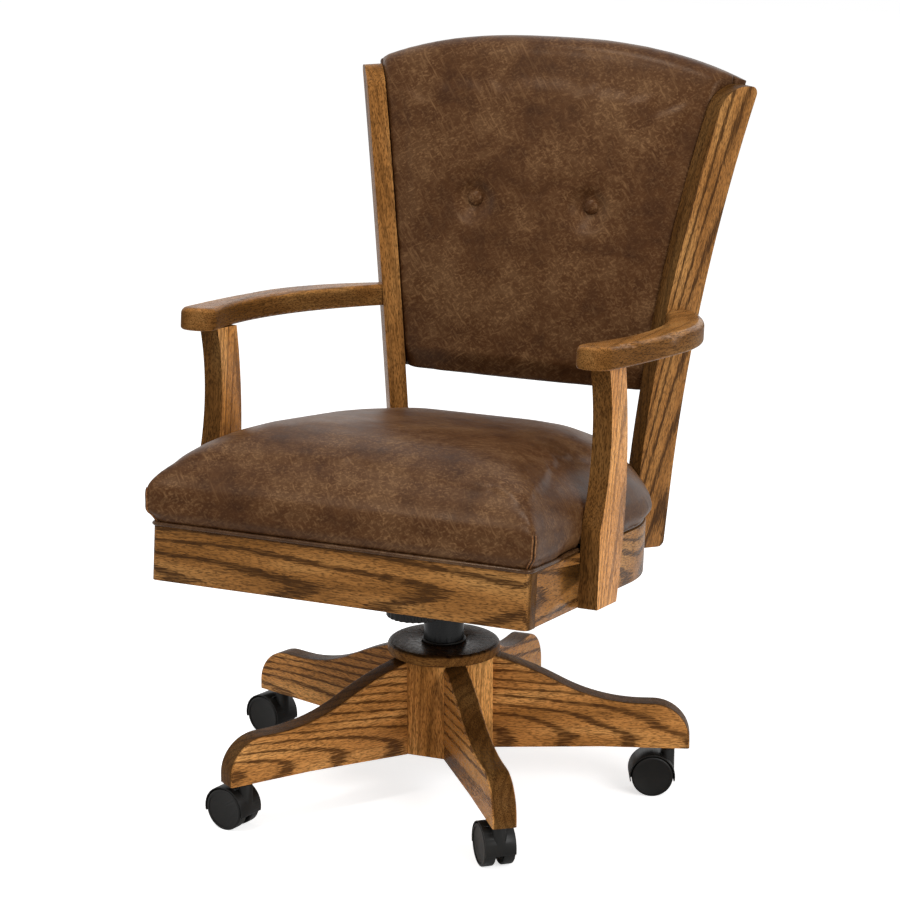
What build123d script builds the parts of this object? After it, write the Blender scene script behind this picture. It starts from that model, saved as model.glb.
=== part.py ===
import os
from math import atan2, cos, radians, sin, sqrt, tan

from build123d import *

# All lengths are in millimetres and all angles in degrees.
# The floor is z = 0, the swivel axis is the Z axis and the chair faces -Y.

# Clearances
running_clearance = 0.08
part_clearance = 0.3
screw_clearance = 0.1

# Five-legged base
leg_count = 5
base_turn = 37.5
leg_thickness = 29.5
leg_reach = 309.0
leg_root_height = 178.0
leg_waist_share = 0.339
leg_waist_height = 145.2
leg_toe_height = 120.0
leg_toe_flat = 14.0
leg_toe_radius = 47.0
leg_underside = 62.7
leg_foot_length = 109.0
leg_edge_round = 3.5
hub_face_radius = 62.5
hub_bottom = 57.7
hub_height = 122.3
cap_radius = 70.3
cap_thickness = 14.0
cap_edge_round = 5.0

# Gas-lift column
column_radius = 25.0
column_wall = 1.6
column_bottom = 67.0
column_floor = 4.0
column_gap = 3.0
collar_radius = 27.5
collar_height = 3.0
bush_length = 78.0
bush_flange = 3.0
cylinder_radius = 14.0
cylinder_bore = 11.6
cylinder_bottom = 77.0
cylinder_gland = 6.0
cylinder_rise = 16.0
cylinder_head = 18.0
rod_radius = 5.0
rod_flange_radius = 9.0
rod_flange_height = 2.7
rod_setback = 66.0
piston_height = 12.0
clip_height = 2.0
rod_tail = 3.0
release_radius = 4.0
release_rise = 6.0
release_length = 14.7
release_bore_depth = 15.0

# Tilt mechanism
seat_height = 297.0
seat_tilt = 6.0
housing_half_width = 55.0
housing_front = -110.0
housing_rear = 62.0
housing_drop = 16.0
housing_wall = 3.0
socket_wall = 5.0
pivot_y = 30.0
pivot_z = 8.0
pivot_radius = 6.0
pivot_overhang = 5.0
plate_thickness = 4.0
plate_half_width = 75.0
plate_front = -120.0
plate_rear = 100.0
flange_gap = 3.0
flange_thickness = 3.0
flange_lug = 16.0
knob_y = -84.0
knob_radius = 36.0
knob_drop = 30.0
knob_height = 18.0
knob_ribs = 28
knob_collar_radius = 20.0
knob_shank_radius = 6.0
knob_shank_depth = 16.0
lever_x = -44.0
lever_y = -28.0
lever_hub_radius = 6.0
lever_hub_half = 9.0
lever_pin_radius = 3.0
lever_lug = 4.0
lever_rod_radius = 4.5
lever_bend_x = -112.0
lever_end_x = -228.0
lever_drop = 33.0
lever_bend_radius = 24.0
lever_finger_width = 10.0
lever_finger_height = 6.0
lever_finger_reach = 6.0
paddle_length = 56.0
paddle_width = 28.0
paddle_thickness = 13.0
paddle_end_cover = 8.0

# Seat frame, in the tilted seat plane (x across, y to the rear, z up from the rail's underside)
rail_height = 65.0
rail_thickness = 22.0
seat_front = -310.0
seat_front_half = 240.0
seat_flare = 5.0
seat_flare_y = 59.0
seat_rear_taper = 77.6
seat_rear = 232.0
front_corner_radius = 8.0
flare_radius = 230.0
rear_corner_radius = 57.0
rail_joint_y = 100.0
board_thickness = 12.0
block_leg = 62.0
block_bottom = 6.0
piping_radius = 3.5
piping_inset = 3.8

# Seat cushion: share of the seat plan at each height above the rails
cushion_centre_y = -52.0
cushion_corner_growth = 200.0
cushion_rake = 3.0
cushion_foot_share = 0.966
cushion_side_share = 1.026
cushion_side_height = 27.0
cushion_edge_height = 46.0
cushion_edge_share = 0.994
cushion_crown_height = 118.0
cushion_crown_power = 4.5
cushion_crown_shares = (0.965, 0.92, 0.85, 0.76, 0.64, 0.5, 0.34, 0.16)

# Stiles: boards toed out and leaning out, curved to the rear above the rail
stile_toe = 30.9
stile_lean = 5.523
stile_thickness = 24.0
stile_width = 53.5
stile_bite = 12.04
stile_inset = 17.7
stile_straight = 80.0
stile_curve_radius = 2020.0
stile_height = 600.0
stile_front_round = 44.0
stile_rear_round = 9.0

# Arm posts and arms
post_thickness = 24.0
post_foot_front = 149.0
post_foot_rear = 210.0
post_knee_height = 93.0
post_waist_front = 167.5
post_waist_rear = 219.5
post_waist_height = 205.0
post_belly_drop = 15.0
post_head_front = 150.5
post_head_rear = 201.0
post_notch = 6.0
arm_bottom = 283.0
arm_thickness = 27.5
arm_setback = 109.0
arm_inset = 12.0
arm_overhang = 36.0
arm_swell_overhang = 50.0
arm_swell_y = 36.0
arm_inner_overhang = 7.0
arm_rear_outer_step = 44.6
arm_rear_outer_back = 30.0
arm_rear_inner_step = 22.6
arm_rear_inner_back = 4.0
arm_nose_round = 20.0
arm_edge_round = 8.0
arm_under_round = 4.0
screw_radius = 2.5
screw_head_radius = 5.0
screw_head = 3.0
screw_length = 38.0
post_screw_heights = (16.0, 47.0)

# Back panel between the stiles
back_bottom = 202.0
back_arch_centre = 645.0
back_arch_fall = 41.0
back_arch_power = 2.5
back_arch_overhang = 10.0
back_roll = 26.0
back_inset = 2.0
back_pad_depth = 36.0
back_board_depth = 14.0
back_bulge = 14.0
back_edge_round = 2.0
button_x = 80.8
button_height = 432.6
button_radius = 10.8
button_thickness = 6.0
dimple_mouth = 29.0
dimple_floor = 12.8
dimple_depth = 10.0

# Casters
caster_inset = 27.0
caster_trails = (130.9, 204.1, 60.0, 165.0, 169.0)
caster_offset = 20.0
wheel_radius = 26.0
wheel_width = 14.5
wheel_edge_round = 2.0
wheel_rim = 3.5
wheel_face_recess = 1.0
web_half = 4.0
web_gap = 0.8
hood_radius = 28.6
hood_gap = 1.2
hood_half = 19.0
hood_skirt = 20.0
stem_radius = 5.5
stem_top = 100.0
stem_foot = 47.0
stem_boss_radius = 8.6
stem_boss_gap = 3.7
axle_radius = 3.0
axle_half = 17.0
socket_thickness = 2.0

# Levels that follow from the seat's height and the hub's place
hub_top = hub_bottom + hub_height
housing_floor = seat_height - housing_drop
cylinder_top = seat_height + cylinder_rise
rod_top = cylinder_top - rod_setback
column_top = housing_floor - column_gap - bush_flange
knob_bottom = housing_floor - knob_drop
lever_z = seat_height

# Places that follow from the seat's width and depth
seat_flare_half = seat_front_half + seat_flare
seat_corner_half = seat_flare_half - seat_rear_taper
arm_front = seat_front + arm_setback
arm_front_inner = seat_front_half - arm_inset
arm_front_outer = seat_front_half + arm_overhang
arm_swell_outer = seat_front_half + arm_swell_overhang
arm_inner_mid = seat_front_half + arm_inner_overhang
arm_rear_outer = (seat_corner_half + arm_rear_outer_step, seat_rear + arm_rear_outer_back)
arm_rear_inner = (seat_corner_half + arm_rear_inner_step, seat_rear + arm_rear_inner_back)
back_arch_half = seat_flare_half + back_arch_overhang

# Planes of the tilted seat: x across, y to the rear, z up from the rail's underside
seat = Plane(
    origin=(0, 0, seat_height),
    x_dir=(1, 0, 0),
    z_dir=(0, sin(radians(seat_tilt)), cos(radians(seat_tilt))),
)


def seat_point(x, y, z):
    """World position of a point given in the seat's own axes."""
    return seat.from_local_coords(Vector(x, y, z))


def seat_direction(x, y, z):
    """World direction of a direction given in the seat's own axes."""
    return seat_point(x, y, z) - seat_point(0, 0, 0)


def seat_side(x):
    """Upright fore-and-aft plane of the seat at x; its own axes are rear and up."""
    return Plane(origin=seat_point(x, 0, 0), x_dir=seat.y_dir, z_dir=(1, 0, 0))


def seat_facing(y):
    """Upright cross plane of the seat at y, facing forward; its own axes are across and up."""
    return Plane(origin=seat_point(0, y, 0), x_dir=(1, 0, 0), z_dir=-seat.y_dir)


def seat_plan(share=1.0):
    """Plan of the seat frame, scaled about the cushion's centre."""
    with BuildSketch() as plan:
        with BuildLine():
            half = [
                (seat_front_half, seat_front),
                (seat_flare_half, seat_flare_y),
                (seat_corner_half, seat_rear),
            ]
            points = half + [(-x, y) for x, y in reversed(half)]
            moved = [(x * share, cushion_centre_y + (y - cushion_centre_y) * share) for x, y in points]
            Polyline(*moved, close=True)
        make_face()
        corners = plan.vertices().sort_by(Axis.Y)
        growth = cushion_corner_growth * max(0.0, cushion_edge_share - share)
        fillet(corners[0:2], (front_corner_radius + growth) * share)
        corners = [v for v in plan.vertices() if abs(v.Y - moved[1][1]) < 0.01]
        fillet(corners, flare_radius * share)
        corners = plan.vertices().sort_by(Axis.Y)
        fillet(corners[-2:], rear_corner_radius * share)
    return plan.sketch


def seat_ring():
    """Plan of the four rails together."""
    with BuildSketch() as ring:
        add(seat_plan())
        inner = offset(seat_plan(), -rail_thickness, kind=Kind.INTERSECTION, mode=Mode.PRIVATE)
        add(inner, mode=Mode.SUBTRACT)
    return ring.sketch


# Board planes of the stiles: own axes are rearward along the board and up along it
toe_along = Vector(sin(radians(stile_toe)), cos(radians(stile_toe)), 0)
toe_out = Vector(cos(radians(stile_toe)), -sin(radians(stile_toe)), 0)
rear_corner = Vector(seat_corner_half, seat_rear, 0)
stile_front = rear_corner.dot(toe_along) - stile_bite
stile_inner = rear_corner.dot(toe_out) - stile_inset
stile_foot = toe_along * stile_front + toe_out * stile_inner
stile_normal = toe_out * cos(radians(stile_lean)) - Vector(0, 0, sin(radians(stile_lean)))
stile_plane = Plane(
    origin=seat_point(stile_foot.X, stile_foot.Y, 0),
    x_dir=seat_direction(toe_along.X, toe_along.Y, 0),
    z_dir=seat_direction(stile_normal.X, stile_normal.Y, stile_normal.Z),
)
stile_seat_origin = toe_along * stile_front
stile_seat_plane = Plane(
    origin=seat_point(stile_seat_origin.X, stile_seat_origin.Y, 0),
    x_dir=seat.z_dir,
    z_dir=seat_direction(toe_along.X, toe_along.Y, 0),
)
mirrored_along = seat_direction(-toe_along.X, toe_along.Y, 0)
stile_seat_mirror = Plane(
    origin=seat_point(-stile_seat_origin.X, stile_seat_origin.Y, 0),
    x_dir=seat.z_dir,
    z_dir=mirrored_along,
)


def stile_edge(height):
    """Distance of the stile's front edge along the board at a height above the rail's underside."""
    rise = max(0.0, height - stile_straight)
    return stile_front + stile_curve_radius - sqrt(stile_curve_radius**2 - rise**2)


def panel_corner(height, depth):
    """Plan position beside the stile's inner face, set back by depth from its front edge."""
    across = stile_inner + height * tan(radians(stile_lean)) - part_clearance
    point = toe_along * (stile_edge(height) + depth) + toe_out * across
    return point.X, point.Y


# Base: hub, cap, legs
os.makedirs("parts", exist_ok=True)
leg_angles = [base_turn + 360.0 / leg_count * k for k in range(leg_count)]
leg_waist_radius = hub_face_radius + leg_waist_share * (leg_reach - hub_face_radius)
leg_toe_flat_start = leg_reach - leg_toe_radius - leg_toe_flat
leg_underside_start = leg_reach - leg_foot_length
caster_radius_from_axis = leg_reach - caster_inset


def leg_direction(angle):
    return Vector(sin(radians(angle)), -cos(radians(angle)), 0)


def leg_side(angle):
    return Vector(cos(radians(angle)), sin(radians(angle)), 0)


with BuildPart() as hub_block:
    with BuildSketch(Plane.XY.offset(hub_bottom)):
        with BuildLine():
            hub_corners = []
            for angle in leg_angles:
                face_middle = leg_direction(angle) * hub_face_radius
                for step in (-1, 1):
                    corner = face_middle + leg_side(angle) * (step * leg_thickness / 2)
                    hub_corners.append((corner.X, corner.Y))
            Polyline(*hub_corners, close=True)
        make_face()
        Circle(column_radius, mode=Mode.SUBTRACT)
    extrude(amount=hub_top - hub_bottom)
hub_block.part.label = "hub_block"
export_step(hub_block.part, "parts/hub_block.step")

with BuildPart() as hub_cap:
    with BuildSketch(Plane.XY.offset(hub_top)):
        Circle(cap_radius)
        Circle(column_radius + part_clearance, mode=Mode.SUBTRACT)
    extrude(amount=cap_thickness)
    rim = hub_cap.edges().filter_by(GeomType.CIRCLE).filter_by(lambda e: e.radius > cap_radius - 1)
    fillet(rim.sort_by(Axis.Z)[-1:], cap_edge_round)
    rim = hub_cap.edges().filter_by(GeomType.CIRCLE).filter_by(lambda e: e.radius > cap_radius - 1)
    fillet(rim.sort_by(Axis.Z)[0:1], cap_edge_round / 2)
hub_cap.part.label = "hub_cap"
export_step(hub_cap.part, "parts/hub_cap.step")

for number, angle in enumerate(leg_angles, start=1):
    along = leg_direction(angle)
    across = leg_side(angle)
    leg_plane = Plane(origin=(0, 0, 0), x_dir=along, z_dir=-across)
    with BuildPart() as leg:
        with BuildSketch(leg_plane):
            with BuildLine():
                waist = TangentArc(
                    (leg_toe_flat_start, leg_toe_height),
                    (leg_waist_radius, leg_waist_height),
                    tangent=(-1, 0),
                )
                root = TangentArc(waist @ 1, (hub_face_radius, leg_root_height), tangent=waist % 1)
                Line(root @ 1, (hub_face_radius, hub_bottom))
                Line((hub_face_radius, hub_bottom), (leg_underside_start, leg_underside))
                Line((leg_underside_start, leg_underside), (leg_reach, leg_underside))
                Line((leg_reach, leg_underside), (leg_reach, leg_toe_height - leg_toe_radius))
                TangentArc(
                    (leg_reach, leg_toe_height - leg_toe_radius),
                    (leg_reach - leg_toe_radius, leg_toe_height),
                    tangent=(0, 1),
                )
                Line((leg_reach - leg_toe_radius, leg_toe_height), (leg_toe_flat_start, leg_toe_height))
            make_face()
        extrude(amount=leg_thickness / 2, both=True)
        crest = [
            e
            for e in leg.edges()
            if abs(abs(e.center().dot(across)) - leg_thickness / 2) < 0.01
            and e.center().dot(along) > hub_face_radius + 1
            and e.center().Z > leg_underside + 1
        ]
        fillet(crest, leg_edge_round)
        stem_place = along * caster_radius_from_axis
        with Locations((stem_place.X, stem_place.Y, leg_underside)):
            Cylinder(
                stem_radius + running_clearance + socket_thickness,
                stem_top - leg_underside + 1,
                align=(Align.CENTER, Align.CENTER, Align.MIN),
                mode=Mode.SUBTRACT,
            )
    leg.part.label = f"leg_{number}"
    export_step(leg.part, f"parts/leg_{number}.step")

with BuildPart() as caster_sockets:
    for angle in leg_angles:
        stem_place = leg_direction(angle) * caster_radius_from_axis
        with BuildSketch(Plane.XY.offset(leg_underside)):
            with Locations((stem_place.X, stem_place.Y)):
                Circle(stem_radius + running_clearance + socket_thickness)
                Circle(stem_radius + running_clearance, mode=Mode.SUBTRACT)
        extrude(amount=stem_top - leg_underside)
caster_sockets.part.label = "caster_sockets"
export_step(caster_sockets.part, "parts/caster_sockets.step")

# Column
with BuildPart() as column_tube:
    with BuildSketch(Plane.XY.offset(column_bottom)):
        Circle(column_radius)
    extrude(amount=column_top - column_bottom)
    with BuildSketch(Plane.XY.offset(column_bottom + column_floor)):
        Circle(column_radius - column_wall)
    extrude(amount=column_top - column_bottom - column_floor, mode=Mode.SUBTRACT)
    with BuildSketch(Plane.XY.offset(column_bottom)):
        Circle(rod_radius + running_clearance)
    extrude(amount=column_floor, mode=Mode.SUBTRACT)
column_tube.part.label = "column_tube"
export_step(column_tube.part, "parts/column_tube.step")

with BuildPart() as column_collar:
    with BuildSketch(Plane.XY.offset(hub_top + cap_thickness)):
        Circle(collar_radius)
        Circle(column_radius, mode=Mode.SUBTRACT)
    extrude(amount=collar_height)
    fillet(column_collar.edges().group_by(Axis.Z)[-1].sort_by(SortBy.RADIUS)[-1:], 1.2)
column_collar.part.label = "column_collar"
export_step(column_collar.part, "parts/column_collar.step")

with BuildPart() as column_bush:
    with BuildSketch(Plane.XY.offset(column_top - bush_length)):
        Circle(column_radius - column_wall)
    extrude(amount=bush_length)
    with BuildSketch(Plane.XY.offset(column_top)):
        Circle(column_radius)
    extrude(amount=bush_flange)
    with BuildSketch(Plane.XY.offset(column_top - bush_length)):
        Circle(cylinder_radius + running_clearance)
    extrude(amount=bush_length + bush_flange, mode=Mode.SUBTRACT)
column_bush.part.label = "column_bush"
export_step(column_bush.part, "parts/column_bush.step")

rod_bottom = column_bottom - part_clearance - clip_height - rod_tail
with BuildPart() as piston_rod:
    with BuildSketch(Plane.XY.offset(rod_bottom)):
        Circle(rod_radius)
    extrude(amount=rod_top - rod_bottom)
    with BuildSketch(Plane.XY.offset(column_bottom + column_floor + part_clearance)):
        Circle(rod_flange_radius)
    extrude(amount=rod_flange_height)
    with BuildSketch(Plane.XY.offset(rod_top - piston_height)):
        Circle(cylinder_bore - part_clearance)
    extrude(amount=piston_height)
piston_rod.part.label = "piston_rod"
export_step(piston_rod.part, "parts/piston_rod.step")

with BuildPart() as rod_clip:
    with BuildSketch(Plane.XY.offset(column_bottom - part_clearance - clip_height)):
        Circle(rod_flange_radius)
        Circle(rod_radius, mode=Mode.SUBTRACT)
    extrude(amount=clip_height)
rod_clip.part.label = "rod_clip"
export_step(rod_clip.part, "parts/rod_clip.step")

with BuildPart() as lift_cylinder:
    with BuildSketch(Plane.XY.offset(cylinder_bottom)):
        Circle(cylinder_radius)
    extrude(amount=cylinder_top - cylinder_bottom)
    with BuildSketch(Plane.XY.offset(cylinder_bottom + cylinder_gland)):
        Circle(cylinder_bore)
    extrude(amount=cylinder_top - cylinder_head - cylinder_bottom - cylinder_gland, mode=Mode.SUBTRACT)
    with BuildSketch(Plane.XY.offset(cylinder_bottom)):
        Circle(rod_radius + running_clearance)
    extrude(amount=cylinder_gland, mode=Mode.SUBTRACT)
    with BuildSketch(Plane.XY.offset(cylinder_top - release_bore_depth)):
        Circle(release_radius + running_clearance)
    extrude(amount=release_bore_depth, mode=Mode.SUBTRACT)
lift_cylinder.part.label = "lift_cylinder"
export_step(lift_cylinder.part, "parts/lift_cylinder.step")

release_top = cylinder_top + release_rise
with BuildPart() as release_pin:
    with BuildSketch(Plane.XY.offset(release_top - release_length)):
        Circle(release_radius)
    extrude(amount=release_length)
release_pin.part.label = "release_pin"
export_step(release_pin.part, "parts/release_pin.step")

# Tilt housing, fixed on the cylinder
pivot_point = seat_point(0, pivot_y, pivot_z)
housing_top = cylinder_top
housing_depth = housing_rear - housing_front
housing_middle = (housing_rear + housing_front) / 2
lug_inner = lever_hub_half + part_clearance
with BuildPart() as mech_housing:
    with BuildSketch(Plane.XY.offset(housing_floor)):
        with Locations((0, housing_middle)):
            RectangleRounded(2 * housing_half_width, housing_depth, 8)
    extrude(amount=housing_top - housing_floor)
    with BuildSketch(Plane.XY.offset(housing_floor + housing_wall)):
        with Locations((0, housing_middle)):
            RectangleRounded(2 * (housing_half_width - housing_wall), housing_depth - 2 * housing_wall, 5)
    extrude(amount=housing_top - housing_floor - housing_wall, mode=Mode.SUBTRACT)
    with BuildSketch(Plane.XY.offset(housing_floor)):
        Circle(cylinder_radius + socket_wall)
    extrude(amount=housing_top - housing_floor)
    with BuildSketch(Plane.XY.offset(housing_floor)):
        Circle(cylinder_radius)
    extrude(amount=housing_top - housing_floor, mode=Mode.SUBTRACT)
    with BuildSketch(Plane.XY.offset(housing_floor)):
        with Locations((0, knob_y)):
            Circle(knob_shank_radius + socket_wall)
    extrude(amount=knob_shank_depth + socket_wall)
    with BuildSketch(Plane.XY.offset(housing_floor)):
        with Locations((0, knob_y)):
            Circle(knob_shank_radius + running_clearance)
    extrude(amount=knob_shank_depth + part_clearance, mode=Mode.SUBTRACT)
    lug_left = -housing_half_width + housing_wall
    lug_right = lever_x + lever_hub_radius + 2
    for step in (-1, 1):
        lug_y = lever_y + step * (lug_inner + lever_lug / 2)
        with BuildSketch(Plane.XY.offset(housing_floor + housing_wall)):
            with Locations(((lug_left + lug_right) / 2, lug_y)):
                Rectangle(lug_right - lug_left, lever_lug)
        extrude(amount=lever_z + lever_hub_radius - housing_floor - housing_wall)
    with BuildSketch(Plane(origin=(lever_x, lever_y, lever_z), x_dir=(1, 0, 0), z_dir=(0, -1, 0))):
        Circle(lever_pin_radius + running_clearance)
    extrude(amount=lug_inner + lever_lug, both=True, mode=Mode.SUBTRACT)
    with BuildSketch(Plane(origin=pivot_point, x_dir=(0, 1, 0), z_dir=(1, 0, 0))):
        Circle(pivot_radius)
    extrude(amount=housing_half_width + 1, both=True, mode=Mode.SUBTRACT)
    slot_floor = housing_floor + housing_wall
    with BuildSketch(Plane.XY.offset(slot_floor)):
        with Locations((-housing_half_width + housing_wall / 2, lever_y)):
            Rectangle(housing_wall + 0.2, 2 * lug_inner)
    extrude(amount=housing_top - slot_floor, mode=Mode.SUBTRACT)
mech_housing.part.label = "mech_housing"
export_step(mech_housing.part, "parts/mech_housing.step")

flange_inner = housing_half_width + flange_gap
pin_half = flange_inner + flange_thickness + pivot_overhang
with BuildPart() as pivot_pin:
    with BuildSketch(Plane(origin=pivot_point, x_dir=(0, 1, 0), z_dir=(1, 0, 0))):
        Circle(pivot_radius)
    extrude(amount=pin_half, both=True)
pivot_pin.part.label = "pivot_pin"
export_step(pivot_pin.part, "parts/pivot_pin.step")

# Tension knob under the housing
with BuildPart() as tension_knob:
    with BuildSketch(Plane.XY.offset(knob_bottom)):
        with Locations((0, knob_y)):
            Circle(knob_radius)
            with PolarLocations(knob_radius + 1.4, knob_ribs):
                Circle(2.8, mode=Mode.SUBTRACT)
    extrude(amount=knob_height)
    chamfer(tension_knob.edges().group_by(Axis.Z)[0], 1.2)
    with BuildSketch(Plane.XY.offset(knob_bottom + knob_height)):
        with Locations((0, knob_y)):
            Circle(knob_collar_radius)
    extrude(amount=housing_floor - knob_bottom - knob_height - part_clearance)
    with BuildSketch(Plane.XY.offset(housing_floor - part_clearance)):
        with Locations((0, knob_y)):
            Circle(knob_shank_radius)
    extrude(amount=knob_shank_depth)
tension_knob.part.label = "tension_knob"
export_step(tension_knob.part, "parts/tension_knob.step")

# Height lever: hub in the housing's lugs, finger over the release pin, rod out to the paddle
rod_level = lever_z - lever_drop
with BuildPart() as height_lever:
    with BuildSketch(Plane(origin=(lever_x, lever_y, lever_z), x_dir=(1, 0, 0), z_dir=(0, -1, 0))):
        Circle(lever_hub_radius)
    extrude(amount=lever_hub_half, both=True)
    with BuildSketch(Plane(origin=(lever_x, lever_y, lever_z), x_dir=(1, 0, 0), z_dir=(0, -1, 0))):
        Circle(lever_pin_radius)
    extrude(amount=lug_inner + lever_lug, both=True)
    finger_bottom = release_top + part_clearance
    finger_top = finger_bottom + lever_finger_height
    with BuildSketch(Plane(origin=(0, lever_y, 0), x_dir=(1, 0, 0), z_dir=(0, -1, 0))):
        with BuildLine():
            Polyline(
                (lever_x - lever_hub_radius + 1, lever_z),
                (lever_x + lever_hub_radius - 1, lever_z),
                (lever_x + 2 * lever_hub_radius, finger_bottom),
                (lever_finger_reach, finger_bottom),
                (lever_finger_reach, finger_top),
                (lever_x + lever_finger_height, finger_top),
                close=True,
            )
        make_face()
    extrude(amount=lever_finger_width / 2, both=True)
    with BuildSketch(Plane.XY.offset(finger_bottom)):
        with Locations((0, lever_y / 2)):
            Rectangle(2 * lever_finger_reach, -lever_y + lever_finger_reach)
    extrude(amount=lever_finger_height)
    with BuildLine(Plane(origin=(0, lever_y, 0), x_dir=(1, 0, 0), z_dir=(0, -1, 0))) as lever_path:
        FilletPolyline(
            (lever_x, lever_z),
            (lever_bend_x, rod_level),
            (lever_end_x, rod_level),
            radius=lever_bend_radius,
        )
    with BuildSketch(Plane(origin=lever_path.wires()[0] @ 0, z_dir=lever_path.wires()[0] % 0)):
        Circle(lever_rod_radius)
    sweep(path=lever_path.wires()[0])
height_lever.part.label = "height_lever"
export_step(height_lever.part, "parts/height_lever.step")

paddle_middle = lever_end_x - paddle_end_cover + paddle_length / 2
with BuildPart() as lever_paddle:
    with BuildSketch(Plane.XY.offset(rod_level - paddle_thickness / 2)):
        with Locations((paddle_middle, lever_y)):
            RectangleRounded(paddle_length, paddle_width, 10)
    extrude(amount=paddle_thickness)
    fillet(lever_paddle.edges().group_by(Axis.Z)[-1], 2.5)
    fillet(lever_paddle.edges().group_by(Axis.Z)[0], 2.5)
    with BuildSketch(Plane(origin=(lever_end_x, lever_y, rod_level), x_dir=(0, 1, 0), z_dir=(1, 0, 0))):
        Circle(lever_rod_radius)
    extrude(amount=paddle_length, mode=Mode.SUBTRACT)
lever_paddle.part.label = "lever_paddle"
export_step(lever_paddle.part, "parts/lever_paddle.step")

# Seat rails
flare_run = Vector(seat_flare_half - seat_front_half, seat_flare_y - seat_front, 0)
side_face = Plane(
    origin=seat_point(seat_front_half, seat_front, 0),
    x_dir=seat_direction(flare_run.X, flare_run.Y, 0),
    z_dir=seat_direction(flare_run.Y, -flare_run.X, 0),
)
post_middle = (post_foot_front + post_foot_rear) / 2
rail_big = 4 * seat_flare_half
front_back = seat_front + rail_thickness

with BuildPart() as front_rail:
    with BuildSketch(seat):
        add(seat_ring())
        with Locations((0, front_back)):
            Rectangle(rail_big, rail_big, align=(Align.CENTER, Align.MAX), mode=Mode.INTERSECT)
    extrude(amount=rail_height)
front_rail.part.label = "front_rail"
export_step(front_rail.part, "parts/front_rail.step")

with BuildPart() as side_rail_left:
    with BuildSketch(seat):
        add(seat_ring())
        with Locations((0, front_back)):
            Rectangle(rail_big, rail_joint_y - front_back, align=(Align.MIN, Align.MIN), mode=Mode.INTERSECT)
    extrude(amount=rail_height)
    with BuildSketch(side_face):
        with Locations(*[(post_middle, height) for height in post_screw_heights]):
            Circle(screw_radius + screw_clearance)
    extrude(amount=-2 * rail_thickness, mode=Mode.SUBTRACT)
side_rail_left.part.label = "side_rail_left"
export_step(side_rail_left.part, "parts/side_rail_left.step")

with BuildPart() as side_rail_right:
    mirror(side_rail_left.part, about=Plane.YZ)
side_rail_right.part.label = "side_rail_right"
export_step(side_rail_right.part, "parts/side_rail_right.step")

with BuildPart() as rear_rail:
    with BuildSketch(seat):
        add(seat_ring())
        with Locations((0, rail_joint_y)):
            Rectangle(rail_big, rail_big, align=(Align.CENTER, Align.MIN), mode=Mode.INTERSECT)
    extrude(amount=rail_height)
    split(bisect_by=stile_seat_plane, keep=Keep.BOTTOM)
    split(bisect_by=stile_seat_mirror, keep=Keep.BOTTOM)
rear_rail.part.label = "rear_rail"
export_step(rear_rail.part, "parts/rear_rail.step")

board_bottom = rail_height - board_thickness
plate_bottom = board_bottom - plate_thickness
plate_holes = [
    (side * (plate_half_width - 10), y) for side in (-1, 1) for y in (plate_front + 15, plate_rear - 15)
]
with BuildPart() as seat_board:
    with BuildSketch(seat.offset(board_bottom)):
        add(
            offset(
                seat_plan(), -rail_thickness - part_clearance, kind=Kind.INTERSECTION, mode=Mode.PRIVATE
            )
        )
    extrude(amount=board_thickness)
    with BuildSketch(seat.offset(board_bottom)):
        with Locations(*plate_holes):
            Circle(screw_radius + screw_clearance)
    extrude(amount=board_thickness - 2, mode=Mode.SUBTRACT)
seat_board.part.label = "seat_board"
export_step(seat_board.part, "parts/seat_board.step")

flare_slope = flare_run.X / flare_run.Y
inner_half = seat_front_half - rail_thickness / cos(atan2(flare_run.X, flare_run.Y))
with BuildPart() as corner_blocks:
    for side in (-1, 1):
        with BuildSketch(seat.offset(block_bottom)):
            with BuildLine():
                near = inner_half + flare_slope * rail_thickness
                far = near + flare_slope * block_leg
                Polyline(
                    (side * near, front_back),
                    (side * far, front_back + block_leg),
                    (side * (near - block_leg), front_back),
                    close=True,
                )
            make_face()
        extrude(amount=board_bottom - block_bottom)
corner_blocks.part.label = "corner_blocks"
export_step(corner_blocks.part, "parts/corner_blocks.step")

with BuildPart() as seat_plate:
    with BuildSketch(seat.offset(plate_bottom)):
        with Locations((0, (plate_front + plate_rear) / 2)):
            RectangleRounded(2 * plate_half_width, plate_rear - plate_front, 12)
        with Locations(*plate_holes):
            Circle(screw_radius + screw_clearance, mode=Mode.SUBTRACT)
    extrude(amount=plate_thickness)
    for side in (-1, 1):
        with BuildSketch(seat_side(side * (flange_inner + flange_thickness / 2))):
            with BuildLine():
                Polyline(
                    (pivot_y - 3 * flange_lug, plate_bottom),
                    (pivot_y + 3 * flange_lug, plate_bottom),
                    (pivot_y + flange_lug, pivot_z - flange_lug + 4),
                    (pivot_y - flange_lug, pivot_z - flange_lug + 4),
                    close=True,
                )
            make_face()
            with Locations((pivot_y, pivot_z)):
                Circle(pivot_radius + running_clearance, mode=Mode.SUBTRACT)
        extrude(amount=flange_thickness / 2, both=True)
seat_plate.part.label = "seat_plate"
export_step(seat_plate.part, "parts/seat_plate.step")

with BuildPart() as plate_screws:
    with BuildSketch(seat.offset(plate_bottom - screw_head)):
        with Locations(*plate_holes):
            Circle(screw_head_radius)
    extrude(amount=screw_head)
    with BuildSketch(seat.offset(plate_bottom)):
        with Locations(*plate_holes):
            Circle(screw_radius)
    extrude(amount=plate_thickness + board_thickness - 3)
plate_screws.part.label = "plate_screws"
export_step(plate_screws.part, "parts/plate_screws.step")

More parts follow.
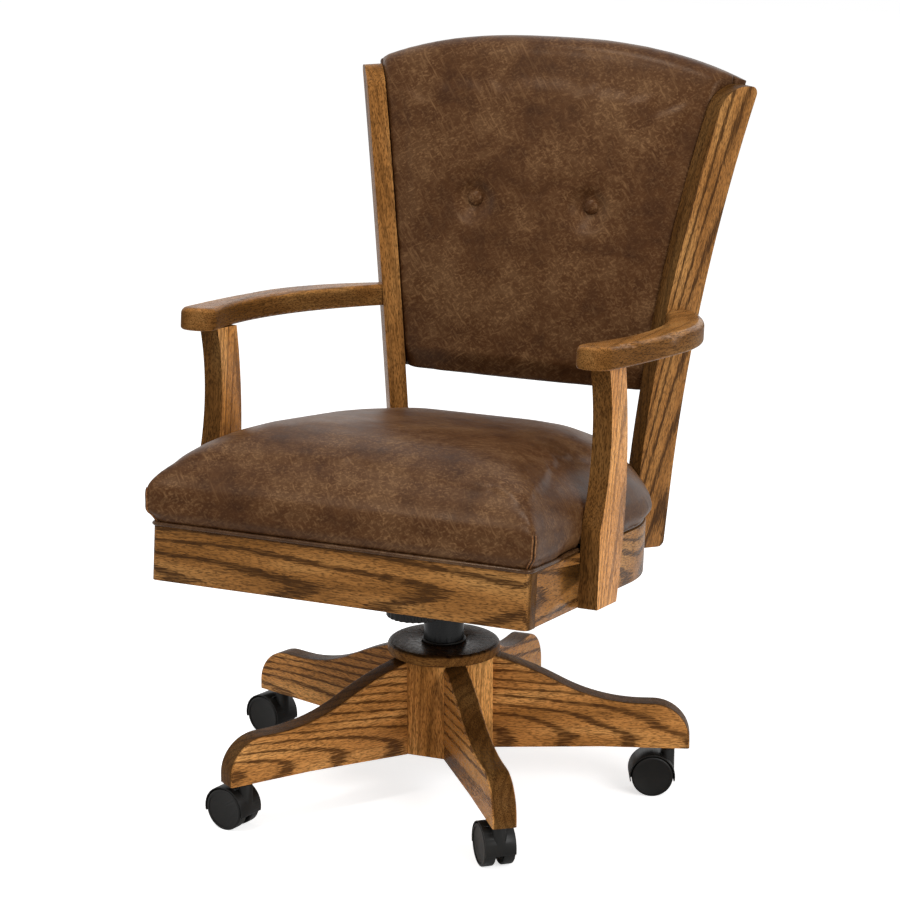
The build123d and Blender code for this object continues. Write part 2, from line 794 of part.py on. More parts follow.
# Seat cushion: foot inside the piping, drawn-in side above it, domed crown
crown_rise = cushion_crown_height - cushion_edge_height
cushion_levels = [
    (part_clearance, cushion_foot_share),
    (2 * piping_radius, cushion_foot_share + 0.005),
    (0.5 * cushion_side_height, cushion_side_share - 0.014),
    (cushion_side_height, cushion_side_share),
    (0.5 * (cushion_side_height + cushion_edge_height), cushion_side_share - 0.006),
    (cushion_edge_height, cushion_edge_share),
]
for share in cushion_crown_shares:
    cushion_levels.append((cushion_edge_height + crown_rise * (1 - share**cushion_crown_power), share))
with BuildPart() as seat_cushion:
    for height, share in cushion_levels:
        above = max(0.0, height - 2 * piping_radius) / (cushion_edge_height - 2 * piping_radius)
        rake = radians(cushion_rake) * min(1.0, above)
        level = Plane(
            origin=seat_point(0, 0, rail_height + height + cushion_centre_y * tan(rake)),
            x_dir=(1, 0, 0),
            z_dir=seat_direction(0, sin(rake), cos(rake)),
        )
        with BuildSketch(level):
            add(seat_plan(share))
    loft(ruled=True)
    for side in (-1, 1):
        with BuildSketch(seat.offset(rail_height)):
            with BuildLine():
                notch_front = post_foot_front - post_notch
                notch_rear = post_waist_rear + post_notch
                notch = [(notch_front, -part_clearance), (notch_rear, -part_clearance)]
                notch += [(notch_rear, post_thickness), (notch_front, post_thickness)]
                placed = [side_face.from_local_coords(Vector(a, 0, b)) for a, b in notch]
                corners = [seat.to_local_coords(point) for point in placed]
                Polyline(*[(side * c.X, c.Y) for c in corners], close=True)
            make_face()
        extrude(amount=cushion_crown_height, mode=Mode.SUBTRACT)
    split(bisect_by=stile_seat_plane.offset(-part_clearance), keep=Keep.BOTTOM)
    split(bisect_by=stile_seat_mirror.offset(-part_clearance), keep=Keep.BOTTOM)
seat_cushion.part.label = "seat_cushion"
export_step(seat_cushion.part, "parts/seat_cushion.step")

with BuildPart() as seat_piping:
    with BuildSketch(seat.offset(rail_height)):
        add(offset(seat_plan(), -piping_inset + piping_radius, kind=Kind.INTERSECTION, mode=Mode.PRIVATE))
        add(
            offset(seat_plan(), -piping_inset - piping_radius, kind=Kind.INTERSECTION, mode=Mode.PRIVATE),
            mode=Mode.SUBTRACT,
        )
    extrude(amount=2 * piping_radius)
    fillet(seat_piping.edges().group_by(Axis(seat.origin, seat.z_dir))[-1], 0.8 * piping_radius)
    split(bisect_by=stile_seat_plane.offset(-part_clearance), keep=Keep.BOTTOM)
    split(bisect_by=stile_seat_mirror.offset(-part_clearance), keep=Keep.BOTTOM)
seat_piping.part.label = "seat_piping"
export_step(seat_piping.part, "parts/seat_piping.step")

# Stiles
curve_rise = stile_height - stile_straight
curve_back = stile_edge(stile_height) - stile_front
with BuildPart() as stile_left:
    with BuildSketch(stile_plane):
        with BuildLine():
            Line((0, 0), (0, stile_straight))
            front_curve = TangentArc((0, stile_straight), (curve_back, stile_height), tangent=(0, 1))
            Line(front_curve @ 1, (curve_back + stile_width, stile_height))
            rear_curve = TangentArc(
                (stile_width, stile_straight),
                (curve_back + stile_width, stile_height),
                tangent=(0, 1),
            )
            Line((stile_width, stile_straight), (stile_width, 0))
            Line((stile_width, 0), (0, 0))
        make_face()
    extrude(amount=stile_thickness)
    heads = stile_left.edges().filter_by(GeomType.LINE).filter_by(
        lambda e: abs(e.length - stile_thickness) < 0.01
    )
    heads = heads.sort_by(Axis(seat.origin, seat.z_dir))[-2:]
    fillet(heads.sort_by(Axis.Y)[0:1], stile_front_round)
    heads = stile_left.edges().filter_by(GeomType.LINE).filter_by(
        lambda e: abs(e.length - stile_thickness) < 0.01
    )
    heads = heads.sort_by(Axis.Y)
    fillet(heads[-1:], stile_rear_round)
    feet = stile_left.edges().filter_by(GeomType.LINE).filter_by(
        lambda e: abs(e.length - stile_thickness) < 0.01
    )
    feet = feet.sort_by(Axis(seat.origin, seat.z_dir))[0:2]
    fillet(feet.sort_by(Axis.Y)[-1:], stile_rear_round)
stile_left.part.label = "stile_left"
export_step(stile_left.part, "parts/stile_left.step")

with BuildPart() as stile_right:
    mirror(stile_left.part, about=Plane.YZ)
stile_right.part.label = "stile_right"
export_step(stile_right.part, "parts/stile_right.step")

# Arm posts on the side rails
with BuildPart() as post_left:
    with BuildSketch(side_face):
        with BuildLine():
            Line((post_foot_front, 0), (post_foot_front - 2, post_knee_height))
            ThreePointArc(
                (post_foot_front - 2, post_knee_height),
                (post_waist_front, post_waist_height),
                (post_head_front, arm_bottom),
            )
            Line((post_head_front, arm_bottom), (post_head_rear, arm_bottom))
            ThreePointArc(
                (post_head_rear, arm_bottom),
                (post_waist_rear, post_waist_height - post_belly_drop),
                (post_foot_rear, 0),
            )
            Line((post_foot_rear, 0), (post_foot_front, 0))
        make_face()
    extrude(amount=post_thickness)
    with BuildSketch(side_face):
        with Locations(*[(post_middle, height) for height in post_screw_heights]):
            Circle(screw_radius + screw_clearance)
    extrude(amount=screw_length - rail_thickness + 2, mode=Mode.SUBTRACT)
post_left.part.label = "post_left"
export_step(post_left.part, "parts/post_left.step")

with BuildPart() as post_right:
    mirror(post_left.part, about=Plane.YZ)
post_right.part.label = "post_right"
export_step(post_right.part, "parts/post_right.step")

with BuildPart() as screws_left:
    with BuildSketch(side_face.offset(-rail_thickness)):
        with Locations(*[(post_middle, height) for height in post_screw_heights]):
            Circle(screw_radius)
    extrude(amount=screw_length)
    with BuildSketch(side_face.offset(-rail_thickness)):
        with Locations(*[(post_middle, height) for height in post_screw_heights]):
            Circle(screw_head_radius)
    extrude(amount=-screw_head)

with BuildPart() as frame_screws:
    add(screws_left.part)
    mirror(screws_left.part, about=Plane.YZ)
frame_screws.part.label = "frame_screws"
export_step(frame_screws.part, "parts/frame_screws.step")

# Arms: swelling outward over the posts and running back into the stiles' outer faces
with BuildPart() as arm_left:
    with BuildSketch(seat.offset(arm_bottom)) as arm_plan:
        with BuildLine():
            Line((arm_front_inner, arm_front), (arm_front_outer, arm_front))
            TangentArc(
                (arm_swell_outer, arm_swell_y), (arm_front_outer, arm_front), tangent=(0, -1)
            )
            TangentArc((arm_swell_outer, arm_swell_y), arm_rear_outer, tangent=(0, 1))
            Line(arm_rear_outer, arm_rear_inner)
            ThreePointArc(arm_rear_inner, (arm_inner_mid, arm_swell_y), (arm_front_inner, arm_front))
        make_face()
        noses = arm_plan.vertices().sort_by(Axis.Y)[0:2]
        fillet(noses, arm_nose_round)
    extrude(amount=arm_thickness)
    split(bisect_by=stile_plane.offset(stile_thickness), keep=Keep.TOP)
    up_axis = Axis(seat.origin, seat.z_dir)
    stile_side = stile_plane.offset(stile_thickness)
    for level, edge_round in ((-1, arm_edge_round), (0, arm_under_round)):
        rim = arm_left.faces().sort_by(up_axis)[level].edges()
        fillet([e for e in rim if abs(stile_side.to_local_coords(e.center()).Z) > 1], edge_round)
arm_left.part.label = "arm_left"
export_step(arm_left.part, "parts/arm_left.step")

with BuildPart() as arm_right:
    mirror(arm_left.part, about=Plane.YZ)
arm_right.part.label = "arm_right"
export_step(arm_right.part, "parts/arm_right.step")

# Back panel: padded front and plain back board, both following the stiles' inner faces
panel_heights = [back_bottom + (back_arch_centre + 6 - back_bottom) * k / 5 for k in range(6)]


def arch_face(drop):
    """Upright region above the back's arched top, lowered by drop."""
    with BuildSketch() as region:
        with BuildLine():
            reach = 1.4 * back_arch_half
            crest = []
            for step in range(-5, 6):
                across = reach * step / 5
                fall = back_arch_fall * (abs(across) / back_arch_half) ** back_arch_power
                crest.append((across, back_arch_centre - drop - fall))
            top_line = Spline(*crest)
            Polyline(
                top_line @ 1,
                (reach, back_arch_centre + back_arch_half),
                (-reach, back_arch_centre + back_arch_half),
                top_line @ 0,
            )
        make_face()
    return region.sketch


with BuildPart() as back_pad:
    for height in panel_heights:
        front_x, front_y = panel_corner(height, back_inset)
        back_x, back_y = panel_corner(height, back_inset + back_pad_depth)
        with BuildSketch(seat.offset(height)):
            with BuildLine():
                Line((front_x, front_y), (back_x, back_y))
                Line((back_x, back_y), (-back_x, back_y))
                Line((-back_x, back_y), (-front_x, front_y))
                ThreePointArc((-front_x, front_y), (0, front_y - back_bulge), (front_x, front_y))
            make_face()
    loft()
    with BuildSketch(seat_facing(0)):
        add(arch_face(0))
    extrude(amount=-2 * back_arch_centre, mode=Mode.SUBTRACT)
    top_face = back_pad.faces().sort_by(Axis(seat.origin, seat.z_dir))[-1]
    front_edge = top_face.edges().sort_by(Axis(seat.origin, seat.y_dir))[0:1]
    fillet(front_edge, back_roll)
    button_front_x, button_front_y = panel_corner(button_height, back_inset)
    button_surface = button_front_y - back_bulge * (1 - (button_x / button_front_x) ** 2)
    dimple_slope = (dimple_mouth - dimple_floor) / dimple_depth
    dimple_reach = dimple_depth + 2 * back_bulge
    for side in (-1, 1):
        dimple_base = Plane(
            origin=seat_point(side * button_x, button_surface + dimple_depth, button_height),
            x_dir=(1, 0, 0),
            z_dir=-seat.y_dir,
        )
        with Locations(dimple_base):
            Cone(
                dimple_floor,
                dimple_floor + dimple_slope * dimple_reach,
                dimple_reach,
                align=(Align.CENTER, Align.CENTER, Align.MIN),
                mode=Mode.SUBTRACT,
            )
back_pad.part.label = "back_pad"
export_step(back_pad.part, "parts/back_pad.step")

with BuildPart() as back_board:
    for height in panel_heights:
        front_x, front_y = panel_corner(height, back_inset + back_pad_depth)
        back_x, back_y = panel_corner(height, back_inset + back_pad_depth + back_board_depth)
        with BuildSketch(seat.offset(height)):
            with BuildLine():
                Polyline(
                    (front_x, front_y + part_clearance),
                    (back_x, back_y),
                    (-back_x, back_y),
                    (-front_x, front_y + part_clearance),
                    close=True,
                )
            make_face()
    loft()
    with BuildSketch(seat_facing(0)):
        add(arch_face(back_edge_round))
    extrude(amount=-2 * back_arch_centre, mode=Mode.SUBTRACT)
back_board.part.label = "back_board"
export_step(back_board.part, "parts/back_board.step")

with BuildPart() as back_buttons:
    for side in (-1, 1):
        button_base = Plane(
            origin=seat_point(side * button_x, button_surface + dimple_depth, button_height),
            x_dir=(1, 0, 0),
            z_dir=-seat.y_dir,
        )
        with BuildSketch(button_base):
            Circle(button_radius)
        extrude(amount=button_thickness)
    fronts = back_buttons.edges().filter_by(GeomType.CIRCLE).sort_by(Axis(seat.origin, seat.y_dir))[0:2]
    fillet(fronts, 0.6 * button_thickness)
back_buttons.part.label = "back_buttons"
export_step(back_buttons.part, "parts/back_buttons.step")

# Casters: built once about the stem's axis with the wheels trailing along +X, then placed under each leg
axle_plane = Plane(origin=(caster_offset, 0, wheel_radius), x_dir=(1, 0, 0), z_dir=(0, -1, 0))
stem_boss_top = leg_underside - stem_boss_gap
with BuildPart() as hood_form:
    with BuildSketch(axle_plane):
        Circle(hood_radius)
    extrude(amount=hood_half, both=True)
    with BuildSketch(Plane.XY.offset(wheel_radius)):
        Circle(stem_boss_radius)
    extrude(amount=stem_boss_top - wheel_radius)
    for step in (-1, 1):
        with BuildSketch(axle_plane.offset(step * web_half)):
            Circle(wheel_radius + hood_gap)
        extrude(amount=step * hood_half, mode=Mode.SUBTRACT)
    with BuildSketch(Plane.XY.offset(hood_skirt)):
        with Locations((caster_offset, 0)):
            Rectangle(4 * hood_radius, 4 * hood_radius)
    extrude(amount=-2 * hood_radius, mode=Mode.SUBTRACT)
    with BuildSketch(axle_plane):
        Circle(axle_radius)
    extrude(amount=hood_half, both=True, mode=Mode.SUBTRACT)
    with BuildSketch(Plane.XY.offset(stem_foot)):
        Circle(stem_radius)
    extrude(amount=stem_boss_top - stem_foot, mode=Mode.SUBTRACT)

with BuildPart() as pins_form:
    with BuildSketch(Plane.XY.offset(stem_foot)):
        Circle(stem_radius)
    extrude(amount=stem_top - stem_foot - part_clearance)
    with BuildSketch(axle_plane):
        Circle(axle_radius)
    extrude(amount=axle_half, both=True)

wheel_forms = []
for step in (-1, 1):
    with BuildPart() as wheel_form:
        with BuildSketch(axle_plane.offset(step * (web_half + web_gap))):
            Circle(wheel_radius)
        extrude(amount=step * wheel_width)
        fillet(wheel_form.edges().filter_by(GeomType.CIRCLE), wheel_edge_round)
        with BuildSketch(axle_plane.offset(step * (web_half + web_gap + wheel_width - wheel_face_recess))):
            Circle(wheel_radius - wheel_rim)
        extrude(amount=step * 2 * wheel_face_recess, mode=Mode.SUBTRACT)
        with BuildSketch(axle_plane.offset(step * web_half)):
            Circle(axle_radius + running_clearance)
        extrude(amount=step * (axle_half - web_half + part_clearance), mode=Mode.SUBTRACT)
    wheel_forms.append(wheel_form.part)

for number, angle in enumerate(leg_angles, start=1):
    stem_place = leg_direction(angle) * caster_radius_from_axis
    trail = radians(caster_trails[number - 1])
    caster_plane = Plane(origin=stem_place, x_dir=(cos(trail), sin(trail), 0), z_dir=(0, 0, 1))
    pieces = (
        ("caster_hood", hood_form.part),
        ("caster_pins", pins_form.part),
        ("wheel_a", wheel_forms[0]),
        ("wheel_b", wheel_forms[1]),
    )
    for name, form in pieces:
        placed = form.moved(caster_plane.location)
        placed.label = f"{name}_{number}"
        export_step(placed, f"parts/{name}_{number}.step")
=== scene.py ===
# %% [markdown]
# A swivel desk chair: an oak frame on a star base, with a domed leather seat and a buttoned leather back.
# The rigid shapes come in as a fixed frame. This lesson dresses them: it rounds the sharp edges of the wood,
# paints each surface with nodes, and builds the upholstery, which no solid model shows well.

# %% Load the frame
import math

import bmesh
import bpy
import numpy as np
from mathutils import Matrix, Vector
from mathutils.bvhtree import BVHTree


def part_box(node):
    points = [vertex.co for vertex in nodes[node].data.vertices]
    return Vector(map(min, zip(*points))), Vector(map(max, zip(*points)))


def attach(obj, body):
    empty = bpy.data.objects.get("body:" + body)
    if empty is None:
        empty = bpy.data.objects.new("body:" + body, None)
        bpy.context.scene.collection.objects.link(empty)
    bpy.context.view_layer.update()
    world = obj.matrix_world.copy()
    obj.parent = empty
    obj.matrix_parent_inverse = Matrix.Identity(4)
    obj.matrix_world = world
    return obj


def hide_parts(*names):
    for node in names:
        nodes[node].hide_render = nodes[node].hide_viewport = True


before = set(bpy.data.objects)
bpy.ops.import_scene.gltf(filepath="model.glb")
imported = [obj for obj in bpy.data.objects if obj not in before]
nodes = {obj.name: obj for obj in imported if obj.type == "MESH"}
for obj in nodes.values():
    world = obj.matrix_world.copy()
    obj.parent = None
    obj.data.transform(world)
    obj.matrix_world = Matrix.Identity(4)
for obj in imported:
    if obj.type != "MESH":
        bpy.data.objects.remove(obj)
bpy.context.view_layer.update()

# %% [markdown]
# The seat leans back by a few degrees, so its pieces are level only in the seat's own axes:
# x across, y to the rear and z up from the underside of the rails. Two small functions go there and back.

# %% The seat's own axes
SEAT_LIFT = 0.297
RAIL_TOP = 0.065
LEAN = math.radians(6.0)
LEAN_C, LEAN_S = math.cos(LEAN), math.sin(LEAN)


def to_room(p):
    p = np.asarray(p, float)
    y = p[..., 1] * LEAN_C + p[..., 2] * LEAN_S
    z = SEAT_LIFT - p[..., 1] * LEAN_S + p[..., 2] * LEAN_C
    return np.stack([p[..., 0], y, z], -1)


def to_seat(p):
    p = np.asarray(p, float)
    z = p[..., 2] - SEAT_LIFT
    return np.stack([p[..., 0], p[..., 1] * LEAN_C - z * LEAN_S, p[..., 1] * LEAN_S + z * LEAN_C], -1)


print("rail underside at the axis", to_room((0, 0, 0)))

# %% [markdown]
# Materials are trees of nodes. Colours are written as the hex values that a paint chart gives, and one
# function turns them into the linear numbers that the shader wants. Another function adds a node with its
# settings and links.

# %% Colour and node helpers


def hex_linear(code):
    parts = [int(code[i:i + 2], 16) / 255 for i in (1, 3, 5)]
    return [c / 12.92 if c <= 0.04045 else ((c + 0.055) / 1.055) ** 2.4 for c in parts] + [1.0]


def put(tree, kind, links=None, **settings):
    node = tree.nodes.new(kind)
    for key, value in settings.items():
        setattr(node, key, value)
    for key, value in (links or {}).items():
        socket = node.inputs[key]
        if isinstance(value, bpy.types.NodeSocket):
            tree.links.new(value, socket)
        else:
            socket.default_value = value
    return node


def finish(name):
    material = bpy.data.materials.new(name)
    material.use_nodes = True
    return material, material.node_tree, material.node_tree.nodes["Principled BSDF"]


def ramp(tree, source, stops):
    node = put(tree, "ShaderNodeValToRGB", {"Fac": source})
    band = node.color_ramp
    while len(band.elements) < len(stops):
        band.elements.new(0.5)
    for element, (place, code) in zip(band.elements, stops):
        element.position = place
        element.color = hex_linear(code)
    return node.outputs["Color"]


print("white is", hex_linear("#FFFFFF"))

# %% [markdown]
# Red oak, stained brown and lacquered to a satin sheen. It is ring-porous: each year's growth starts with a
# band of open pores that the stain darkens, so a flat-sawn face shows dark flames and a quarter face lines.
# Rings about a heart line, seen along a board that is slightly out of line with it, give both by themselves.
# The grain runs along each board, so the function takes the board's direction and where its heart lay.
# Sawn edges drink more stain and lacquer than the broad faces, so they end darker and duller; that darkening
# also carries painted shade. The function therefore also takes the direction that the broad face looks.

# %% Stained oak
PORE_LENGTH = 0.020
PORE_WIDTH = 0.0013  # drawn coarser than the real 0.3 mm, which is finer than a pixel
FLECK_LENGTH = 0.006
FLECK_WIDTH = 0.0011
OAK_SHADE, OAK_MID, OAK_LIGHT = "#8A5924", "#A87034", "#BE8747"
OAK_RING, OAK_PORE = "#3F240C", "#2C1706"
# how much darker sawn edges are drawn: stain, and painted shade
EDGE_STAIN_AND_SHADE = 0.42
CLOUDS_PER_METRE = (34, 34, 5)
LACQUER = "#E8C9A4"  # old amber lacquer warms what it reflects


def stained_oak(
    name, along, face, heart, ring=0.008, drift=4.0, shade=1.0, edge=EDGE_STAIN_AND_SHADE, flame=0.9, shine=0.16
):
    material, tree, shader = finish(name)
    turn = Vector(along).normalized().rotation_difference(Vector((0, 0, 1))).to_euler()
    place = put(tree, "ShaderNodeTexCoord")
    centred = put(tree, "ShaderNodeVectorMath", {0: place.outputs["Object"], 1: Vector(heart)},
                  operation="SUBTRACT")
    board = put(tree, "ShaderNodeMapping", {"Vector": centred.outputs[0], "Rotation": turn})
    tilted = put(tree, "ShaderNodeMapping", {
        "Vector": board.outputs[0], "Rotation": (math.radians(drift), math.radians(0.6 * drift), 0)
    })
    flat = put(tree, "ShaderNodeVectorMath", {0: tilted.outputs[0], 1: (1, 1, 0.06)}, operation="MULTIPLY")
    looks = put(tree, "ShaderNodeVectorMath", {0: place.outputs["Normal"], 1: Vector(face).normalized()},
                operation="DOT_PRODUCT")
    broad = put(tree, "ShaderNodeMath", {0: looks.outputs["Value"]}, operation="ABSOLUTE")
    # brightness of faces and edges: the wood's tone, stain, and painted light and shade
    stain_and_shade, strength, gloss = [
        put(tree, "ShaderNodeMapRange", {
            "Value": broad.outputs[0], "From Min": 0.3, "From Max": 0.8, "To Min": low, "To Max": high
        }, interpolation_type="SMOOTHSTEP")
        for low, high in ((edge * shade, shade), (0.4 * flame, flame), (0.15 * shine, shine))
    ]
    rings = put(tree, "ShaderNodeTexWave", {
        "Vector": flat.outputs[0], "Scale": 0.314 / ring, "Distortion": 4.5, "Detail": 2.5,
        "Detail Scale": 0.7, "Detail Roughness": 0.5,
    }, wave_type="RINGS", rings_direction="Z", wave_profile="SIN")
    dashes = []
    for width, length in ((PORE_WIDTH, PORE_LENGTH), (FLECK_WIDTH, FLECK_LENGTH)):
        stretched = put(tree, "ShaderNodeVectorMath", {
            0: board.outputs[0], 1: (1 / width, 1 / width, 1 / length)
        }, operation="MULTIPLY")
        dashes.append(put(tree, "ShaderNodeTexNoise", {
            "Vector": stretched.outputs[0], "Scale": 1.0, "Detail": 1.5
        }))
    ragged = put(tree, "ShaderNodeMath", {0: dashes[0].outputs["Fac"], 1: 1.5, 2: rings.outputs["Fac"]},
                 operation="MULTIPLY_ADD")
    band = put(tree, "ShaderNodeMapRange", {
        "Value": ragged.outputs[0], "From Min": 1.46, "From Max": 1.72, "To Min": 0.0,
        "To Max": strength.outputs[0]
    }, interpolation_type="SMOOTHSTEP")
    flecks = put(tree, "ShaderNodeMapRange", {
        "Value": dashes[1].outputs["Fac"], "From Min": 0.34, "From Max": 0.54, "To Min": 0.70, "To Max": 0.0
    })
    pores = put(tree, "ShaderNodeMapRange", {
        "Value": dashes[0].outputs["Fac"], "From Min": 0.34, "From Max": 0.46, "To Min": 0.62, "To Max": 0.0
    })
    pore_mask = put(tree, "ShaderNodeMath", {0: pores.outputs[0], 1: flecks.outputs[0]}, operation="MAXIMUM")
    cloud_place = put(tree, "ShaderNodeVectorMath", {0: board.outputs[0], 1: CLOUDS_PER_METRE},
                      operation="MULTIPLY")
    cloud = put(tree, "ShaderNodeTexNoise", {"Vector": cloud_place.outputs[0], "Scale": 1.0, "Detail": 3.0})
    ground = ramp(tree, cloud.outputs["Fac"], [(0.3, OAK_SHADE), (0.5, OAK_MID), (0.7, OAK_LIGHT)])
    ringed = put(tree, "ShaderNodeMix", {"Factor": band.outputs[0], 6: ground, 7: hex_linear(OAK_RING)},
                 data_type="RGBA")
    pored = put(tree, "ShaderNodeMix", {
        "Factor": pore_mask.outputs[0], 6: ringed.outputs[2], 7: hex_linear(OAK_PORE)
    }, data_type="RGBA")
    toned = put(tree, "ShaderNodeHueSaturation", {
        "Color": pored.outputs[2], "Saturation": 0.97, "Value": stain_and_shade.outputs[0]
    })
    tree.links.new(toned.outputs[0], shader.inputs["Base Color"])
    dull = put(tree, "ShaderNodeMath", {0: pore_mask.outputs[0], 1: 0.30, 2: 0.22}, operation="MULTIPLY_ADD")
    tree.links.new(dull.outputs[0], shader.inputs["Roughness"])
    bump = put(tree, "ShaderNodeBump", {"Height": pore_mask.outputs[0], "Strength": 0.25, "Distance": 0.0004},
               invert=True)
    tree.links.new(bump.outputs[0], shader.inputs["Normal"])
    shader.inputs["IOR"].default_value = 1.5
    tree.links.new(gloss.outputs[0], shader.inputs["Specular IOR Level"])
    shader.inputs["Specular Tint"].default_value = hex_linear(LACQUER)
    return material


print("oak ground", OAK_MID)

# %% Which way each board runs


def wear(name, material):
    node = nodes[name]
    node.data.materials.clear()
    node.data.materials.append(material)


SEAT_X, SEAT_Y, SEAT_Z = (1, 0, 0), (0, LEAN_C, -LEAN_S), (0, LEAN_S, LEAN_C)
TOE = math.radians(30.9)
spot = to_room((0.03, -0.262, 0.018))
# Each board's shade and edge numbers are partly its own tone and partly painted light and shade: posts, legs
# and hub are drawn brighter where they face the light, the front rail darker facing away.
wear("front_rail", stained_oak("oak_front_rail", SEAT_X, SEAT_Y, spot, 0.012, 5.0, 0.76))
wear("rear_rail", stained_oak("oak_rear_rail", SEAT_X, SEAT_Y, to_room((0.0, 0.19, 0.03)), 0.009, 4.0))
for side, word in ((1, "left"), (-1, "right")):
    out = (side * math.cos(TOE), -math.sin(TOE), 0)
    up = to_room((side * 0.083, 0.031, 0.59)) - to_room((0, 0, 0))
    for name, along, face, heart, ring, drift, shade, edge, flame, shine in (
        ("side_rail", SEAT_Y, SEAT_X, (0.20, -0.1, 0.02), 0.009, 5.0, 0.90, 0.5, 0.9, 0.16),
        ("arm", SEAT_Y, SEAT_Z, (0.25, 0.0, 0.25), 0.005, 2.0, 0.88, 0.6, 0.45, 0.06),
        ("post", SEAT_Z, SEAT_X, (0.20, -0.1, 0.1), 0.005, 3.0, 1.9, 0.20, 0.6, 0.16),
        # painted shade: the left stile's edges are drawn darker than the right stile's
        ("stile", up, out, (0.17, 0.30, 0.2), 0.009, 3.0, 0.95, 0.55 - 0.25 * side, 0.9, 0.16),
    ):
        spot = to_room((side * heart[0], heart[1], heart[2]))
        lean = side * drift
        board = stained_oak(f"oak_{name}_{word}", along, face, spot, ring, lean, shade, edge, flame, shine)
        wear(f"{name}_{word}", board)
for number in range(1, 6):
    turn = math.radians(37.5 + 72 * (number - 1))
    out = Vector((math.sin(turn), -math.cos(turn), 0))
    side = Vector((math.cos(turn), math.sin(turn), 0))
    heart = out * 0.16 + side * 0.045 + Vector((0, 0, 0.07))
    wear(f"leg_{number}", stained_oak(f"oak_leg_{number}", out, side, heart, 0.009, 6.0, 1.45, 0.24))
wear("hub_block", stained_oak("oak_hub", (0, 0, 1), (0, 0, 1), (0.02, 0.01, 0.1), 0.004, 1.5, 1.0, 1.6, 1.2))
wear("hub_cap", stained_oak("oak_cap", (1, 0, 0), (0, 0, 1), (0.0, 0.02, 0.15), 0.008, 3.0, 0.12, 4.5))
print("oak boards", sum(m.name.startswith("oak") for m in bpy.data.materials))

# %% [markdown]
# Top-grain leather with a pull-up finish: dark brown, with paler veins where the hide was stretched and the
# wax broke. The pebbles of its grain are about a millimetre and a half. The veins are short, thin and nearly
# straight, a few centimetres long and lying in every direction, so they are drawn as four stretched noises
# that cross each other.

# %% Pull-up leather
PEBBLE = 0.0016
VEIN_LENGTH, VEIN_WIDTH = 0.100, 0.0030
MOTTLE = 0.022
PATCH = 0.070
HIDE_DARK, HIDE_MID, HIDE_LIGHT, HIDE_WAX = "#331C0E", "#452A16", "#593E27", "#7A5A3C"
WAX_TINT = "#E2C6AA"
VEIN_TURNS = ((0.5, 0.8, 0.0), (-0.6, -0.5, 0.4), (1.0, 0.5, 0.9), (1.1, -0.9, -0.6))


def pull_up_leather(name, shade=1.0, rough=0.26, shine=0.22):
    material, tree, shader = finish(name)
    place = put(tree, "ShaderNodeTexCoord").outputs["Object"]
    patch = put(tree, "ShaderNodeTexNoise", {
        "Vector": place, "Scale": 1 / PATCH, "Detail": 3.0, "Roughness": 0.55
    })
    cloud = put(tree, "ShaderNodeTexNoise", {
        "Vector": place, "Scale": 1 / MOTTLE, "Detail": 3.0, "Roughness": 0.55, "Distortion": 0.6
    })
    blend = put(tree, "ShaderNodeMix", {"Factor": 0.4, 2: patch.outputs["Fac"], 3: cloud.outputs["Fac"]})
    ground = ramp(tree, blend.outputs[0], [(0.34, HIDE_DARK), (0.5, HIDE_MID), (0.68, HIDE_LIGHT)])
    veins = None
    for turn in VEIN_TURNS:
        slant = put(tree, "ShaderNodeMapping", {
            "Vector": place, "Rotation": turn, "Scale": (VEIN_WIDTH, VEIN_WIDTH, VEIN_LENGTH)
        }, vector_type="TEXTURE")
        streak = put(tree, "ShaderNodeTexNoise", {
            "Vector": slant.outputs[0], "Scale": 1.0, "Detail": 1.0, "Roughness": 0.5, "Distortion": 0.15
        })
        bright = put(tree, "ShaderNodeMapRange", {
            "Value": streak.outputs["Fac"], "From Min": 0.57, "From Max": 0.78, "To Min": 0.0, "To Max": 1.0
        }).outputs[0]
        veins = bright if veins is None else put(
            tree, "ShaderNodeMath", {0: veins, 1: bright}, operation="MAXIMUM").outputs[0]
    here = put(tree, "ShaderNodeMapRange", {
        "Value": patch.outputs["Fac"], "From Min": 0.36, "From Max": 0.64, "To Min": 0.20, "To Max": 0.80
    })
    wax = put(tree, "ShaderNodeMath", {0: veins, 1: here.outputs[0]}, operation="MULTIPLY")
    veined = put(tree, "ShaderNodeMix", {"Factor": wax.outputs[0], 6: ground, 7: hex_linear(HIDE_WAX)},
                 data_type="RGBA")
    toned = put(tree, "ShaderNodeHueSaturation", {"Color": veined.outputs[2], "Value": shade})
    tree.links.new(toned.outputs[0], shader.inputs["Base Color"])
    pebbles = put(tree, "ShaderNodeTexVoronoi", {"Vector": place, "Scale": 1 / PEBBLE}, feature="SMOOTH_F1")
    grain = put(tree, "ShaderNodeMath", {0: cloud.outputs["Fac"], 1: 1.5, 2: pebbles.outputs["Distance"]},
                operation="MULTIPLY_ADD")
    bump = put(tree, "ShaderNodeBump", {"Height": grain.outputs[0], "Strength": 0.12, "Distance": 0.0005})
    tree.links.new(bump.outputs[0], shader.inputs["Normal"])
    dull = put(tree, "ShaderNodeMath", {0: cloud.outputs["Fac"], 1: 0.2, 2: rough}, operation="MULTIPLY_ADD")
    tree.links.new(dull.outputs[0], shader.inputs["Roughness"])
    shader.inputs["IOR"].default_value = 1.45
    shader.inputs["Specular IOR Level"].default_value = shine
    shader.inputs["Specular Tint"].default_value = hex_linear(WAX_TINT)
    return material


leather = pull_up_leather("pull_up_leather")
welt_leather = pull_up_leather("welt_leather", 0.72, 0.14, 0.5)  # polished by the tight pull round the cord
highlight_lip_leather = pull_up_leather("highlight_lip_leather", 2.2)  # painted highlight: drawn pale where the edge stands up to the light
gap_leather = pull_up_leather("gap_leather", 0.25)  # unlit depth of the seam
wear("back_board", leather)
print("leather", leather.name)

